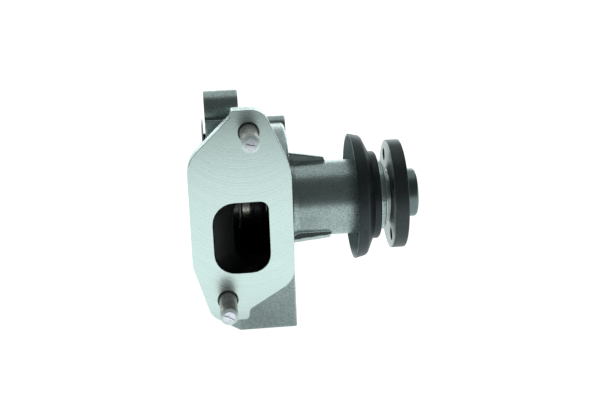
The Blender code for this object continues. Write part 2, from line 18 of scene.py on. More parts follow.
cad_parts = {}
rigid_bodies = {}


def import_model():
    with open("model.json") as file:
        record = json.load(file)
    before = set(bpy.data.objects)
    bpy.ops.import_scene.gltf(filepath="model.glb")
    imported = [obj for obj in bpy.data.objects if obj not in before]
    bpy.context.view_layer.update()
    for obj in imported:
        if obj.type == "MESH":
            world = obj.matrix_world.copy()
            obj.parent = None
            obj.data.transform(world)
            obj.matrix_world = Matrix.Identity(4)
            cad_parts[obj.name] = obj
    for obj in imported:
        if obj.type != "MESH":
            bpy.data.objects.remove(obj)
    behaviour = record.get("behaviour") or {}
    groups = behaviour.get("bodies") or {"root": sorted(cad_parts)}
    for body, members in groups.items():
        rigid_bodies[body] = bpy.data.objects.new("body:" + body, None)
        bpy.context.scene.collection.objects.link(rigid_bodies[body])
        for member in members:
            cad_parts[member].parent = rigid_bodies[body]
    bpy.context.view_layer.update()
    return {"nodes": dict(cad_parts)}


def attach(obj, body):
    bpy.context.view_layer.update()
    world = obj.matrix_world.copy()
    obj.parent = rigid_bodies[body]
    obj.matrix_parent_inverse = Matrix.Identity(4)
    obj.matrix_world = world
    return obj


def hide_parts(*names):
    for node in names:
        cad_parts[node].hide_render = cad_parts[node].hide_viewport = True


MM = 0.001
LOG = logging.getLogger("coolant_pump")

for leftover in list(bpy.data.objects):
    bpy.data.objects.remove(leftover, do_unlink=True)
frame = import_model()

Point = tuple[float, float]
Corner = tuple[float, float, float]
Socket = bpy.types.NodeSocket
Sockets = bpy.types.bpy_prop_collection

NEAR = 0.00002
FLAT = 0.999
CREASE = 0.7


class Body(Enum):
    """The rigid bodies that pieces ride on."""

    HOUSING = "housing"
    ROTOR = "rotor"
    FRONT_BALLS = "front_ball_set"
    REAR_BALLS = "rear_ball_set"


class CastSlot(Enum):
    """The housing's finishes, in the order of its material slots."""

    CAST = 0
    MILLED = 1
    BORED = 2
    PAINTED_SHADE = 3
# the near-black painted shade of the port and the chamber


class Along(Enum):
    """The axis that a turned piece is turned about."""

    SHAFT = "X"
    PAD_NORMAL = "Y"


# ---------------------------------------------------------------------------------------------------------
# Shader graphs


class Graph:
    """Adds nodes to one node tree with short calls."""

    def __init__(self, tree: bpy.types.NodeTree) -> None:
        """Wraps a tree.

        Args:
            tree: The material's tree or the group that the nodes go into.
        """
        self.tree = tree

    def add(self, kind: str, **settings: object) -> bpy.types.Node:
        """Adds one node.

        Args:
            kind: Blender's name of the node's type.
            **settings: Properties of the node, such as operation.

        Returns:
            The new node.
        """
        node = self.tree.nodes.new(kind)
        for name, value in settings.items():
            setattr(node, name, value)
        return node

    def feed(self, target: Socket, source: object) -> None:
        """Links a socket to another one, or sets its value.

        Args:
            target: The input socket.
            source: An output socket, or a plain value.
        """
        if isinstance(source, bpy.types.NodeSocket):
            self.tree.links.new(source, target)
        else:
            target.default_value = source

    def math(self, operation: str, a: object, b: object = 0.0, clamp: bool = False) -> Socket:
        """Adds a Math node.

        Args:
            operation: The node's operation.
            a: The first input, a socket or a number.
            b: The second input, a socket or a number.
            clamp: Whether the result stays within 0 and 1.

        Returns:
            The node's output.
        """
        node = self.add("ShaderNodeMath", operation=operation, use_clamp=clamp)
        self.feed(node.inputs[0], a)
        self.feed(node.inputs[1], b)
        return node.outputs[0]

    def spread(self, value: object, low: float, high: float, to_low: float = 0.0,
               to_high: float = 1.0) -> Socket:
        """Maps a value smoothly from one range to another, without leaving the second.

        Args:
            value: The value that is mapped.
            low: The value that becomes to_low.
            high: The value that becomes to_high.
            to_low: The result at low.
            to_high: The result at high.

        Returns:
            The mapped value.
        """
        node = self.add("ShaderNodeMapRange", interpolation_type="SMOOTHSTEP")
        for socket, source in zip(node.inputs, (value, low, high, to_low, to_high)):
            self.feed(socket, source)
        return node.outputs[0]

    def scaled(self, value: object, by: float, plus: float) -> Socket:
        """Scales a value and then adds to it.

        Args:
            value: The value.
            by: What it is multiplied by.
            plus: What is added.

        Returns:
            The result.
        """
        return self.math("ADD", self.math("MULTIPLY", value, by), plus)

    def blend(self, share: object, first: object, second: object) -> Socket:
        """Mixes two colours.

        Args:
            share: How much of the second colour shows.
            first: The colour at 0.
            second: The colour at 1.

        Returns:
            The mixed colour.
        """
        node = self.add("ShaderNodeMix", data_type="RGBA", blend_type="MIX")
        self.feed(node.inputs[0], share)
        self.feed(node.inputs[6], rgba(first))
        self.feed(node.inputs[7], rgba(second))
        return node.outputs[2]

    def lay(self, tone: object, mask: Socket, strength: float, color: object) -> Socket:
        """Lays a colour over a tone where a mask shows.

        Args:
            tone: The colour underneath.
            mask: Where the new colour goes, 0 to 1.
            strength: How much of it shows where the mask is 1.
            color: The colour on top.

        Returns:
            The mixed colour.
        """
        return self.blend(self.math("MULTIPLY", mask, strength), tone, color)

    def noise(self, where: object, scale: object, detail: float = 3.0, roughness: float = 0.55) -> Socket:
        """Adds a 3D noise value.

        Args:
            where: The coordinates.
            scale: Features per metre.
            detail: How many octaves.
            roughness: How strong the fine octaves are.

        Returns:
            The noise's value, around 0.5.
        """
        node = self.add("ShaderNodeTexNoise")
        self.feed(node.inputs["Vector"], where)
        self.feed(node.inputs["Scale"], scale)
        self.feed(node.inputs["Detail"], detail)
        self.feed(node.inputs["Roughness"], roughness)
        return node.outputs["Fac"]

    def streaks(self, along: object, detail: float = 2.0) -> Socket:
        """Adds a 1D noise value, for marks that repeat along one length.

        Args:
            along: The length, already scaled to features.
            detail: How many octaves.

        Returns:
            The noise's value, around 0.5.
        """
        node = self.add("ShaderNodeTexNoise", noise_dimensions="1D")
        self.feed(node.inputs["W"], along)
        self.feed(node.inputs["Scale"], 1.0)
        self.feed(node.inputs["Detail"], detail)
        return node.outputs["Fac"]

    def place(self) -> Socket:
        """Returns the piece's own coordinates, in metres."""
        return self.add("ShaderNodeTexCoord").outputs["Object"]

    def split(self, vector: Socket) -> tuple[Socket, Socket, Socket]:
        """Splits a vector.

        Args:
            vector: The vector.

        Returns:
            Its X, Y and Z.
        """
        node = self.add("ShaderNodeSeparateXYZ")
        self.feed(node.inputs[0], vector)
        return node.outputs[0], node.outputs[1], node.outputs[2]

    def bump(self, height: Socket, distance: float, strength: float = 1.0,
             under: Optional[Socket] = None) -> Socket:
        """Turns a height into a normal.

        Args:
            height: The height, 0 to 1.
            distance: How far in metres a height of 1 stands out.
            strength: How much of the bump shows.
            under: A normal that this one goes on top of.

        Returns:
            The new normal.
        """
        node = self.add("ShaderNodeBump")
        self.feed(node.inputs["Height"], height)
        node.inputs["Distance"].default_value = distance
        node.inputs["Strength"].default_value = strength
        if under is not None:
            self.feed(node.inputs["Normal"], under)
        return node.outputs["Normal"]


def rgba(color: object) -> object:
    """Adds alpha to a plain colour and leaves a socket as it is."""
    return (*color, 1.0) if isinstance(color, tuple) and len(color) == 3 else color


def toned(color: tuple, share: float) -> tuple:
    """Returns a plain colour made darker or lighter."""
    return tuple(c * share for c in color)


class Effects:
    """The surface effects that several finishes share, each a node group built once."""

    def __init__(self) -> None:
        """Starts with no group built."""
        self.built: dict[str, bpy.types.NodeTree] = {}

    def start(self, name: str, inputs: dict[str, object],
              outputs: Sequence[str]) -> tuple[Graph, Sockets, Sockets]:
        """Starts a group and its sockets.

        Args:
            name: The group's name.
            inputs: Each input's name and default; a tuple makes a vector input.
            outputs: Names of the value outputs.

        Returns:
            The group's graph, its input node's outputs and its output node's inputs.
        """
        tree = bpy.data.node_groups.new(name, "ShaderNodeTree")
        for label, default in inputs.items():
            kind = "NodeSocketVector" if isinstance(default, tuple) else "NodeSocketFloat"
            socket = tree.interface.new_socket(name=label, in_out="INPUT", socket_type=kind)
            socket.default_value = default
        for label in outputs:
            tree.interface.new_socket(name=label, in_out="OUTPUT", socket_type="NodeSocketFloat")
        self.built[name] = tree
        graph = Graph(tree)
        return graph, graph.add("NodeGroupInput").outputs, graph.add("NodeGroupOutput").inputs

    def cast_skin(self) -> bpy.types.NodeTree:
        """Makes the group for a sand-blasted casting: speckle, broad cloudiness and a pitted height.

        Returns:
            The group, built once.
        """
        if "cast_skin" in self.built:
            return self.built["cast_skin"]
        graph, given, out = self.start(
            "cast_skin", {"Grain": 1500.0, "Cloud": 60.0}, ("Speckle", "Clouds", "Height"))
        where = graph.place()
        fine = graph.noise(where, given["Grain"], 4.0, 0.7)
        broad = graph.noise(where, given["Cloud"], 3.0, 0.6)
        lumps = graph.noise(where, graph.math("MULTIPLY", given["Grain"], 0.36), 3.0, 0.6)
        cells = graph.add("ShaderNodeTexVoronoi")
        graph.feed(cells.inputs["Vector"], where)
        graph.feed(cells.inputs["Scale"], graph.math("MULTIPLY", given["Grain"], 0.26))
        pits = graph.spread(cells.outputs["Distance"], 0.05, 0.2)
        pocked = graph.math("MULTIPLY", pits, graph.math("ADD", graph.math("MULTIPLY", lumps, 0.7), 0.3))
        graph.feed(out["Speckle"], graph.spread(fine, 0.36, 0.66))
        graph.feed(out["Clouds"], graph.spread(broad, 0.3, 0.7))
        graph.feed(out["Height"], graph.math("ADD", graph.math("MULTIPLY", fine, 0.45), pocked))
        return self.built["cast_skin"]

    def edge_wear_and_hollow_shade(self) -> bpy.types.NodeTree:
        """Makes the group for bare, brighter metal along outside edges, broken up by noise, and for painted
        shade in hollows.

        Returns:
            The group, built once.
        """
        if "edge_wear_and_hollow_shade" in self.built:
            return self.built["edge_wear_and_hollow_shade"]
        graph, given, out = self.start("edge_wear_and_hollow_shade", {"Reach": 0.05, "Breakup": 300.0}, ("Edge", "HollowShade"))
        ridge = graph.add("ShaderNodeNewGeometry").outputs["Pointiness"]
        broken = graph.noise(graph.place(), given["Breakup"], 3.0, 0.6)
        lifted = graph.math("SUBTRACT", ridge, 0.5)
        edge = graph.math("DIVIDE", lifted, given["Reach"])
        raised = graph.math("MAXIMUM", edge, 0.0)
        # painted shade: concave places give a mask that darkens the hollows
        sunk = graph.math("MULTIPLY", edge, -1.0)
        graph.feed(out["Edge"], graph.math("MULTIPLY", raised, graph.spread(broken, 0.3, 0.6, 0.4), True))
        graph.feed(out["HollowShade"], graph.math("MAXIMUM", sunk, 0.0, True))
        return self.built["edge_wear_and_hollow_shade"]

    def milling_arcs(self) -> bpy.types.NodeTree:
        """Makes the group for the arcs that a face mill leaves as it feeds down the pad, one below another.

        Returns:
            The group, built once.
        """
        if "milling_arcs" in self.built:
            return self.built["milling_arcs"]
        graph, given, out = self.start(
            "milling_arcs", {"Centre": (0.0, 0.0, 0.0), "Radius": 0.06, "Lines": 1100.0},
            ("Lines", "Bands", "Height"))
        offset = graph.add("ShaderNodeVectorMath", operation="SUBTRACT")
        graph.feed(offset.inputs[0], graph.place())
        graph.feed(offset.inputs[1], given["Centre"])
        across, _, up = graph.split(offset.outputs[0])
        whole = graph.math("MULTIPLY", given["Radius"], given["Radius"])
        beside = graph.math("MULTIPLY", across, across)
        left = graph.math("MAXIMUM", graph.math("SUBTRACT", whole, beside), 0.0)
        reach = graph.math("ADD", up, graph.math("SQRT", left))
        wander = graph.math("MULTIPLY", graph.noise(graph.place(), 40.0, 2.0), 0.0005)
        steps = graph.math("MULTIPLY", graph.math("ADD", reach, wander), given["Lines"])
        fine = graph.streaks(steps, 3.0)
        wide = graph.streaks(graph.math("MULTIPLY", steps, 0.16), 2.0)
        graph.feed(out["Lines"], graph.spread(fine, 0.3, 0.7))
        graph.feed(out["Bands"], graph.spread(wide, 0.32, 0.68))
        graph.feed(out["Height"], fine)
        return self.built["milling_arcs"]

    def lathe_marks(self) -> bpy.types.NodeTree:
        """Makes the group for the fine rings that a turning tool leaves about the shaft's axis.

        Returns:
            The group, built once.
        """
        if "lathe_marks" in self.built:
            return self.built["lathe_marks"]
        graph, given, out = self.start("lathe_marks", {"Lines": 2600.0}, ("Lines", "Height"))
        along, side, up = graph.split(graph.place())
        squares = graph.math("ADD", graph.math("MULTIPLY", side, side), graph.math("MULTIPLY", up, up))
        feed_line = graph.math("ADD", graph.math("SQRT", squares), graph.math("MULTIPLY", along, 0.93))
        marks = graph.streaks(graph.math("MULTIPLY", feed_line, given["Lines"]), 3.0)
        graph.feed(out["Lines"], graph.spread(marks, 0.3, 0.7))
        graph.feed(out["Height"], marks)
        return self.built["lathe_marks"]

    def stains(self) -> bpy.types.NodeTree:
        """Makes the group for soft patches of oil, dust or handling.

        Returns:
            The group, built once.
        """
        if "stains" in self.built:
            return self.built["stains"]
        graph, given, out = self.start("stains", {"Scale": 45.0, "Cover": 0.5}, ("Patch", "Specks"))
        where = graph.place()
        cloud = graph.noise(where, given["Scale"], 5.0, 0.62)
        specks = graph.noise(where, graph.math("MULTIPLY", given["Scale"], 28.0), 1.0, 0.5)
        level = graph.math("SUBTRACT", graph.math("ADD", cloud, given["Cover"]), 0.5)
        graph.feed(out["Patch"], graph.spread(level, 0.42, 0.72))
        graph.feed(out["Specks"], graph.spread(specks, 0.71, 0.76))
        return self.built["stains"]


EFFECTS = Effects()


class Surface:
    """One material that is being put together: its graph and its shader."""

    def __init__(self, name: str, color: tuple, roughness: float, metallic: float) -> None:
        """Makes the material and sets its plain values.

        Args:
            name: The material's name.
            color: Base colour, linear.
            roughness: Roughness where nothing drives it.
            metallic: Metallic value.
        """
        self.material = bpy.data.materials.new(name)
        self.material.use_nodes = True
        self.graph = Graph(self.material.node_tree)
        self.shader = self.material.node_tree.nodes["Principled BSDF"]
        self.set("Base Color", rgba(color))
        self.set("Roughness", roughness)
        self.set("Metallic", metallic)

    def set(self, socket: str, source: object) -> None:
        """Links or sets one of the shader's sockets."""
        self.graph.feed(self.shader.inputs[socket], source)

    def effect(self, tree: bpy.types.NodeTree, **values: object) -> Sockets:
        """Places an effect group.

        Args:
            tree: The group.
            **values: Its inputs, by name.

        Returns:
            The group node's outputs.
        """
        node = self.graph.add("ShaderNodeGroup", node_tree=tree)
        for name, value in values.items():
            self.graph.feed(node.inputs[name], value)
        return node.outputs


# ---------------------------------------------------------------------------------------------------------
# Finishes


@dataclass(frozen=True)
class CastAluminium:
    """The housing's blasted casting: grey, speckled, with brighter edges and painted shade darkening its
    hollows.
    """

    light: tuple = (0.49, 0.56, 0.55)
    dark: tuple = (0.2, 0.235, 0.23)
    edge: tuple = (0.7, 0.81, 0.8)

    def material(self) -> bpy.types.Material:
        """Builds the finish.

        Returns:
            The material.
        """
        s = Surface("cast_aluminium", self.light, 0.36, 0.9)
        g = s.graph
        skin = s.effect(EFFECTS.cast_skin(), Grain=1050.0, Cloud=55.0)
        wear = s.effect(EFFECTS.edge_wear_and_hollow_shade(), Reach=0.06, Breakup=350.0)
        patch = s.effect(EFFECTS.stains(), Scale=38.0, Cover=0.46)
        tone = g.blend(skin["Clouds"], self.light, toned(self.light, 0.84))
        tone = g.lay(tone, skin["Speckle"], 0.5, self.dark)
        tone = g.lay(tone, patch["Patch"], 0.22, (0.17, 0.18, 0.175))
        # painted shade: the casting is made darker in its hollows
        tone = g.lay(tone, wear["HollowShade"], 0.5, self.dark)
        tone = g.lay(tone, patch["Specks"], 0.5, (0.09, 0.095, 0.09))
        tone = g.lay(tone, wear["Edge"], 0.75, self.edge)
        rough = g.scaled(skin["Speckle"], 0.18, 0.25)
        s.set("Base Color", tone)
        s.set("Roughness", g.math("SUBTRACT", rough, g.math("MULTIPLY", wear["Edge"], 0.08)))
        s.set("Normal", g.bump(skin["Height"], 0.00012, 0.6))
        return s.material


@dataclass(frozen=True)
class PortShadeCasting:
    """The casting inside the port and the chamber: the same skin made near-black, a painted shade for the
    darkness deep inside the port.
    """

    painted_shade: tuple = (0.014, 0.016, 0.0145)
    painted_shade_pale: tuple = (0.032, 0.036, 0.032)

    def material(self) -> bpy.types.Material:
        """Builds the finish.

        Returns:
            The material.
        """
        s = Surface("painted_shade_casting", self.painted_shade, 0.4, 0.35)
        g = s.graph
        skin = s.effect(EFFECTS.cast_skin(), Grain=1200.0, Cloud=45.0)
        wear = s.effect(EFFECTS.edge_wear_and_hollow_shade(), Reach=0.1, Breakup=300.0)
        # painted shade: the port and chamber walls are coloured near-black for the darkness inside them
        tone = g.lay(self.painted_shade, skin["Clouds"], 0.5, self.painted_shade_pale)
        tone = g.lay(tone, wear["Edge"], 0.5, (0.2, 0.21, 0.2))
        s.set("Base Color", tone)
        s.set("Roughness", g.scaled(skin["Speckle"], 0.2, 0.3))
        s.set("Normal", g.bump(skin["Height"], 0.00014, 0.7))
        return s.material


@dataclass(frozen=True)
class MilledAluminium:
    """A face-milled surface: pale, satin, with fine arcs and a few small pores."""

    color: tuple = (0.77, 0.875, 0.845)
    centre: tuple = (-0.102, -0.062, 0.0)

    def material(self) -> bpy.types.Material:
        """Builds the finish.

        Returns:
            The material.
        """
        s = Surface("milled_aluminium", self.color, 0.34, 0.88)
        g = s.graph
        arcs = s.effect(EFFECTS.milling_arcs(), Centre=self.centre, Lines=1500.0, Radius=0.04)
        patch = s.effect(EFFECTS.stains(), Scale=30.0, Cover=0.45)
        shade = toned(self.color, 0.9)
        tone = g.lay(self.color, arcs["Lines"], 0.3, shade)
        tone = g.lay(tone, arcs["Bands"], 0.4, toned(self.color, 0.93))
        tone = g.lay(tone, patch["Patch"], 0.1, (0.42, 0.46, 0.43))
        tone = g.lay(tone, patch["Specks"], 0.35, (0.16, 0.16, 0.15))
        s.set("Base Color", tone)
        s.set("Roughness", g.scaled(arcs["Lines"], 0.08, 0.21))
        s.set("Normal", g.bump(arcs["Height"], 0.00003, 0.1))
        return s.material


@dataclass(frozen=True)
class BoredAluminium:
    """The housing's turned bores, seats and nose end."""

    color: tuple = (0.62, 0.7, 0.68)

    def material(self) -> bpy.types.Material:
        """Builds the finish.

        Returns:
            The material.
        """
        s = Surface("bored_aluminium", self.color, 0.33, 0.88)
        g = s.graph
        rings = s.effect(EFFECTS.lathe_marks(), Lines=1900.0)
        patch = s.effect(EFFECTS.stains(), Scale=60.0, Cover=0.5)
        tone = g.lay(self.color, rings["Lines"], 0.35, toned(self.color, 0.74))
        tone = g.lay(tone, patch["Patch"], 0.3, (0.3, 0.31, 0.29))
        s.set("Base Color", tone)
        s.set("Roughness", g.scaled(rings["Lines"], 0.12, 0.28))
        s.set("Normal", g.bump(rings["Height"], 0.00004, 0.6))
        return s.material


@dataclass(frozen=True)
class BlackOxide:
    """Satin blue-black oxide on steel, thinner and browner along its edges."""

    name: str
    color: tuple
    rubbed: tuple
    roughness: float = 0.42

    def material(self) -> bpy.types.Material:
        """Builds the finish.

        Returns:
            The material.
        """
        s = Surface(self.name, self.color, self.roughness, 0.55)
        g = s.graph
        skin = s.effect(EFFECTS.cast_skin(), Grain=2600.0, Cloud=70.0)
        wear = s.effect(EFFECTS.edge_wear_and_hollow_shade(), Reach=0.12, Breakup=420.0)
        rings = s.effect(EFFECTS.lathe_marks(), Lines=1500.0)
        patch = s.effect(EFFECTS.stains(), Scale=55.0, Cover=0.46)
        tone = g.blend(skin["Clouds"], self.color, toned(self.color, 0.78))
        tone = g.lay(tone, rings["Lines"], 0.25, toned(self.color, 1.5))
        tone = g.lay(tone, patch["Specks"], 0.55, (0.2, 0.21, 0.21))
        tone = g.lay(tone, patch["Patch"], 0.2, toned(self.color, 1.8))
        tone = g.lay(tone, wear["Edge"], 0.7, self.rubbed)
        s.set("Base Color", tone)
        s.set("Roughness", g.scaled(skin["Speckle"], 0.14, self.roughness - 0.06))
        s.set("Normal", g.bump(rings["Height"], 0.00003, 0.4, g.bump(skin["Height"], 0.00003, 0.5)))
        return s.material


@dataclass(frozen=True)
class TurnedSteel:
    """Bare steel turned or ground about the shaft's axis."""

    name: str
    color: tuple
    roughness: float
    lines: float = 2200.0
    tint: tuple = (0.3, 0.25, 0.2)
    tint_share: float = 0.18

    def material(self) -> bpy.types.Material:
        """Builds the finish.

        Returns:
            The material.
        """
        s = Surface(self.name, self.color, self.roughness, 1.0)
        g = s.graph
        rings = s.effect(EFFECTS.lathe_marks(), Lines=self.lines)
        wear = s.effect(EFFECTS.edge_wear_and_hollow_shade(), Reach=0.12, Breakup=500.0)
        patch = s.effect(EFFECTS.stains(), Scale=80.0, Cover=0.52)
        tone = g.lay(self.color, rings["Lines"], 0.3, toned(self.color, 0.7))
        tone = g.lay(tone, patch["Patch"], self.tint_share, self.tint)
        tone = g.lay(tone, wear["Edge"], 0.5, tuple(min(1.0, c * 1.5) for c in self.color))
        rough = g.scaled(rings["Lines"], 0.1, self.roughness - 0.04)
        s.set("Base Color", tone)
        s.set("Roughness", g.math("ADD", rough, g.math("MULTIPLY", patch["Patch"], 0.08)))
        s.set("Normal", g.bump(rings["Height"], 0.00002, 0.5))
        return s.material


@dataclass(frozen=True)
class StudSteel:
    """Brown-grey phosphated steel of a pad stud, with drawn lines round its shank."""

    name: str = "stud_steel"
    color: tuple = (0.63, 0.61, 0.58)
    dark: tuple = (0.42, 0.37, 0.335)
    metallic: float = 0.72

    def material(self) -> bpy.types.Material:
        """Builds the finish.

        Returns:
            The material.
        """
        s = Surface(self.name, self.color, 0.36, self.metallic)
        g = s.graph
        where = g.place()
        _, along, _ = g.split(where)
        rings = g.streaks(g.math("MULTIPLY", along, 2600.0), 3.0)
        blotch = g.noise(where, 260.0, 4.0, 0.6)
        grain = g.noise(where, 2400.0, 2.0, 0.6)
        tone = g.blend(g.spread(blotch, 0.35, 0.68), self.color, self.dark)
        tone = g.lay(tone, g.spread(rings, 0.35, 0.65), 0.35, toned(self.color, 0.9))
        s.set("Base Color", tone)
        s.set("Roughness", g.spread(grain, 0.3, 0.7, 0.3, 0.48))
        s.set("Normal", g.bump(rings, 0.00004, 0.6))
        return s.material


@dataclass(frozen=True)
class ShearedSteel:
    """A stud's bright cut end: clean metal, a torn dark line across it and short scratches."""

    name: str
    middle: tuple
    lean: float
    color: tuple = (0.9, 0.89, 0.96)

    def material(self) -> bpy.types.Material:
        """Builds the finish.

        Returns:
            The material.
        """
        s = Surface(self.name, self.color, 0.34, 0.85)
        g = s.graph
        offset = g.add("ShaderNodeVectorMath", operation="SUBTRACT")
        g.feed(offset.inputs[0], g.place())
        g.feed(offset.inputs[1], tuple(c * MM for c in self.middle))
        across, _, up = g.split(offset.outputs[0])
        wander = g.math("MULTIPLY", g.math("SUBTRACT", g.noise(g.place(), 420.0, 3.0), 0.5), 0.0034)
        level = g.math("ADD", g.math("ADD", up, g.math("MULTIPLY", across, self.lean)), wander)
        tear = g.spread(g.math("ABSOLUTE", level), 0.00012, 0.0004, 1.0, 0.0)
        reach = g.spread(g.math("ABSOLUTE", across), 0.0018, 0.0032, 1.0, 0.0)
        tear = g.math("MULTIPLY", tear, reach)
        slant = g.math("ADD", up, g.math("MULTIPLY", across, 0.3))
        scratch = g.streaks(g.math("MULTIPLY", slant, 2600.0), 3.0)
        cloud = g.noise(g.place(), 520.0, 3.0)
        tone = g.lay(self.color, g.spread(scratch, 0.35, 0.7), 0.3, (0.6, 0.58, 0.64))
        tone = g.blend(g.spread(cloud, 0.52, 0.74, 0.0, 0.45), tone, (0.45, 0.42, 0.46))
        tone = g.lay(tone, tear, 0.85, (0.12, 0.09, 0.1))
        s.set("Base Color", tone)
        s.set("Roughness", g.spread(cloud, 0.3, 0.7, 0.26, 0.42))
        s.set("Normal", g.bump(g.math("SUBTRACT", g.math("MULTIPLY", scratch, 0.3), tear), 0.00012, 0.8))
        return s.material


@dataclass(frozen=True)
class StampedSteel:
    """The impeller's stamped sheet: grey, slightly mottled, brighter where it was sheared."""

    color: tuple = (0.3, 0.32, 0.33)

    def material(self) -> bpy.types.Material:
        """Builds the finish.

        Returns:
            The material.
        """
        s = Surface("stamped_steel", self.color, 0.38, 0.95)
        g = s.graph
        skin = s.effect(EFFECTS.cast_skin(), Grain=2000.0, Cloud=90.0)
        wear = s.effect(EFFECTS.edge_wear_and_hollow_shade(), Reach=0.1, Breakup=300.0)
        patch = s.effect(EFFECTS.stains(), Scale=50.0, Cover=0.5)
        tone = g.blend(skin["Clouds"], self.color, toned(self.color, 0.72))
        tone = g.lay(tone, patch["Patch"], 0.3, (0.2, 0.17, 0.14))
        tone = g.lay(tone, wear["Edge"], 0.6, (0.62, 0.64, 0.65))
        s.set("Base Color", tone)
        s.set("Roughness", g.scaled(skin["Speckle"], 0.16, 0.3))
        s.set("Normal", g.bump(skin["Height"], 0.00003, 0.4))
        return s.material


@dataclass(frozen=True)
class Moulded:
    """Moulded rubber, polymer, carbon or ceramic: a quiet surface with fine grain and a little dust."""

    name: str
    color: tuple
    roughness: float
    grain: float = 2200.0
    dust: tuple = (0.3, 0.3, 0.29)
    dust_share: float = 0.12

    def material(self) -> bpy.types.Material:
        """Builds the finish.

        Returns:
            The material.
        """
        s = Surface(self.name, self.color, self.roughness, 0.0)
        g = s.graph
        skin = s.effect(EFFECTS.cast_skin(), Grain=self.grain, Cloud=120.0)
        patch = s.effect(EFFECTS.stains(), Scale=90.0, Cover=0.5)
        tone = g.blend(skin["Clouds"], self.color, toned(self.color, 0.75))
        tone = g.lay(tone, patch["Patch"], self.dust_share, self.dust)
        s.set("Base Color", tone)
        s.set("Roughness", g.scaled(skin["Speckle"], 0.12, self.roughness - 0.05))
        s.set("Normal", g.bump(skin["Height"], 0.00003, 0.4))
        return s.material


@dataclass
class FinishRack:
    """Every finish of the pump, made once."""

    cast: bpy.types.Material = field(init=False)
    milled: bpy.types.Material = field(init=False)
    bored: bpy.types.Material = field(init=False)
    port_painted_shade: bpy.types.Material = field(init=False)
    ring_black: bpy.types.Material = field(init=False)
    ring_inside: bpy.types.Material = field(init=False)
    hub_black: bpy.types.Material = field(init=False)
    hub_face: bpy.types.Material = field(init=False)
    pilot: bpy.types.Material = field(init=False)
    stud: bpy.types.Material = field(init=False)
    stud_chamfer_painted_highlight: bpy.types.Material = field(init=False)
    shaft: bpy.types.Material = field(init=False)
    race: bpy.types.Material = field(init=False)
    ball: bpy.types.Material = field(init=False)
    stamped: bpy.types.Material = field(init=False)
    bush: bpy.types.Material = field(init=False)
    collar: bpy.types.Material = field(init=False)
    seal_case: bpy.types.Material = field(init=False)
    spring: bpy.types.Material = field(init=False)
    slinger: bpy.types.Material = field(init=False)
    rubber: bpy.types.Material = field(init=False)
    polymer: bpy.types.Material = field(init=False)
    carbon: bpy.types.Material = field(init=False)
    ceramic: bpy.types.Material = field(init=False)

    def __post_init__(self) -> None:
        """Makes the materials."""
        self.cast = CastAluminium().material()
        self.milled = MilledAluminium().material()
        self.bored = BoredAluminium().material()
        self.port_painted_shade = PortShadeCasting().material()
        self.ring_black = BlackOxide(
            "ring_black", (0.028, 0.034, 0.038), (0.16, 0.18, 0.185), 0.44).material()
        self.ring_inside = BlackOxide("ring_inside", (0.09, 0.115, 0.12), (0.11, 0.14, 0.145), 0.4).material()
        self.hub_black = BlackOxide("hub_black", (0.034, 0.04, 0.043), (0.18, 0.19, 0.19), 0.42).material()
        self.hub_face = TurnedSteel(
            "hub_turned_face", (0.43, 0.46, 0.45), 0.33, 1500.0, tint_share=0.07).material()
        self.pilot = TurnedSteel("hub_pilot", (0.17, 0.21, 0.21), 0.34, 1800.0).material()
        self.stud = StudSteel().material()
        # painted highlight: the stud's chamfer is a near-white, barely metallic copy of the stud steel so it
        # shows bright
        self.stud_chamfer_painted_highlight = StudSteel("stud_chamfer_painted_highlight", (0.95, 1.0, 1.0), (0.82, 0.9, 0.9), 0.15).material()
        self.shaft = TurnedSteel("ground_shaft", (0.5, 0.5, 0.5), 0.24, 4200.0).material()
        self.race = TurnedSteel("ground_race", (0.52, 0.52, 0.52), 0.24, 4200.0).material()
        self.ball = TurnedSteel("polished_ball", (0.68, 0.68, 0.69), 0.12, 900.0, tint_share=0.05).material()
        self.stamped = StampedSteel().material()
        self.bush = TurnedSteel("turned_bush", (0.42, 0.42, 0.41), 0.3, 1600.0).material()
        self.collar = TurnedSteel("bush_collar", (0.86, 0.9, 0.9), 0.5, 1600.0, tint_share=0.05).material()
        self.seal_case = TurnedSteel("drawn_case", (0.6, 0.57, 0.5), 0.28, 900.0).material()
        self.spring = TurnedSteel("spring_wire", (0.55, 0.55, 0.54), 0.28, 3000.0).material()
        self.slinger = TurnedSteel("pressed_slinger", (0.42, 0.42, 0.42), 0.34, 1200.0).material()
        self.rubber = Moulded("seal_rubber", (0.022, 0.022, 0.023), 0.62).material()
        self.polymer = Moulded("cage_polymer", (0.42, 0.33, 0.18), 0.5, dust_share=0.05).material()
        self.carbon = Moulded("lapped_carbon", (0.035, 0.035, 0.037), 0.36, 3200.0).material()
        self.ceramic = Moulded("lapped_ceramic", (0.06, 0.062, 0.066), 0.24, 3200.0).material()


# ---------------------------------------------------------------------------------------------------------
# Shapes


def soften(corners: Sequence[Corner], closed: bool, turn_step: float = 18.0) -> list[Point]:
    """Rounds the corners of an outline.

    Args:
        corners: Points (u, v, radius); a radius of 0 keeps the corner sharp.
        closed: Whether the last corner joins the first.
        turn_step: Degrees of turn for each piece of an arc.

    Returns:
        The outline with an arc in place of each rounded corner.
    """
    outline: list[Point] = []
    count = len(corners)
    for i, (u, v, radius) in enumerate(corners):
        if radius <= 0 or (not closed and i in (0, count - 1)):
            outline.append((u, v))
            continue
        corner = Vector((u, v))
        before = (Vector(corners[i - 1][:2]) - corner).normalized()
        after = (Vector(corners[(i + 1) % count][:2]) - corner).normalized()
        half = before.angle(after) / 2
        middle = corner + (before + after).normalized() * (radius / math.sin(half))
        start = corner + before * (radius / math.tan(half)) - middle
        swing = start.angle_signed(corner + after * (radius / math.tan(half)) - middle)
        pieces = max(2, round(abs(math.degrees(swing)) / turn_step))
        for k in range(pieces + 1):
            turn = -swing * k / pieces
            outline.append((
                middle.x + start.x * math.cos(turn) - start.y * math.sin(turn),
                middle.y + start.x * math.sin(turn) + start.y * math.cos(turn),
            ))
    return outline


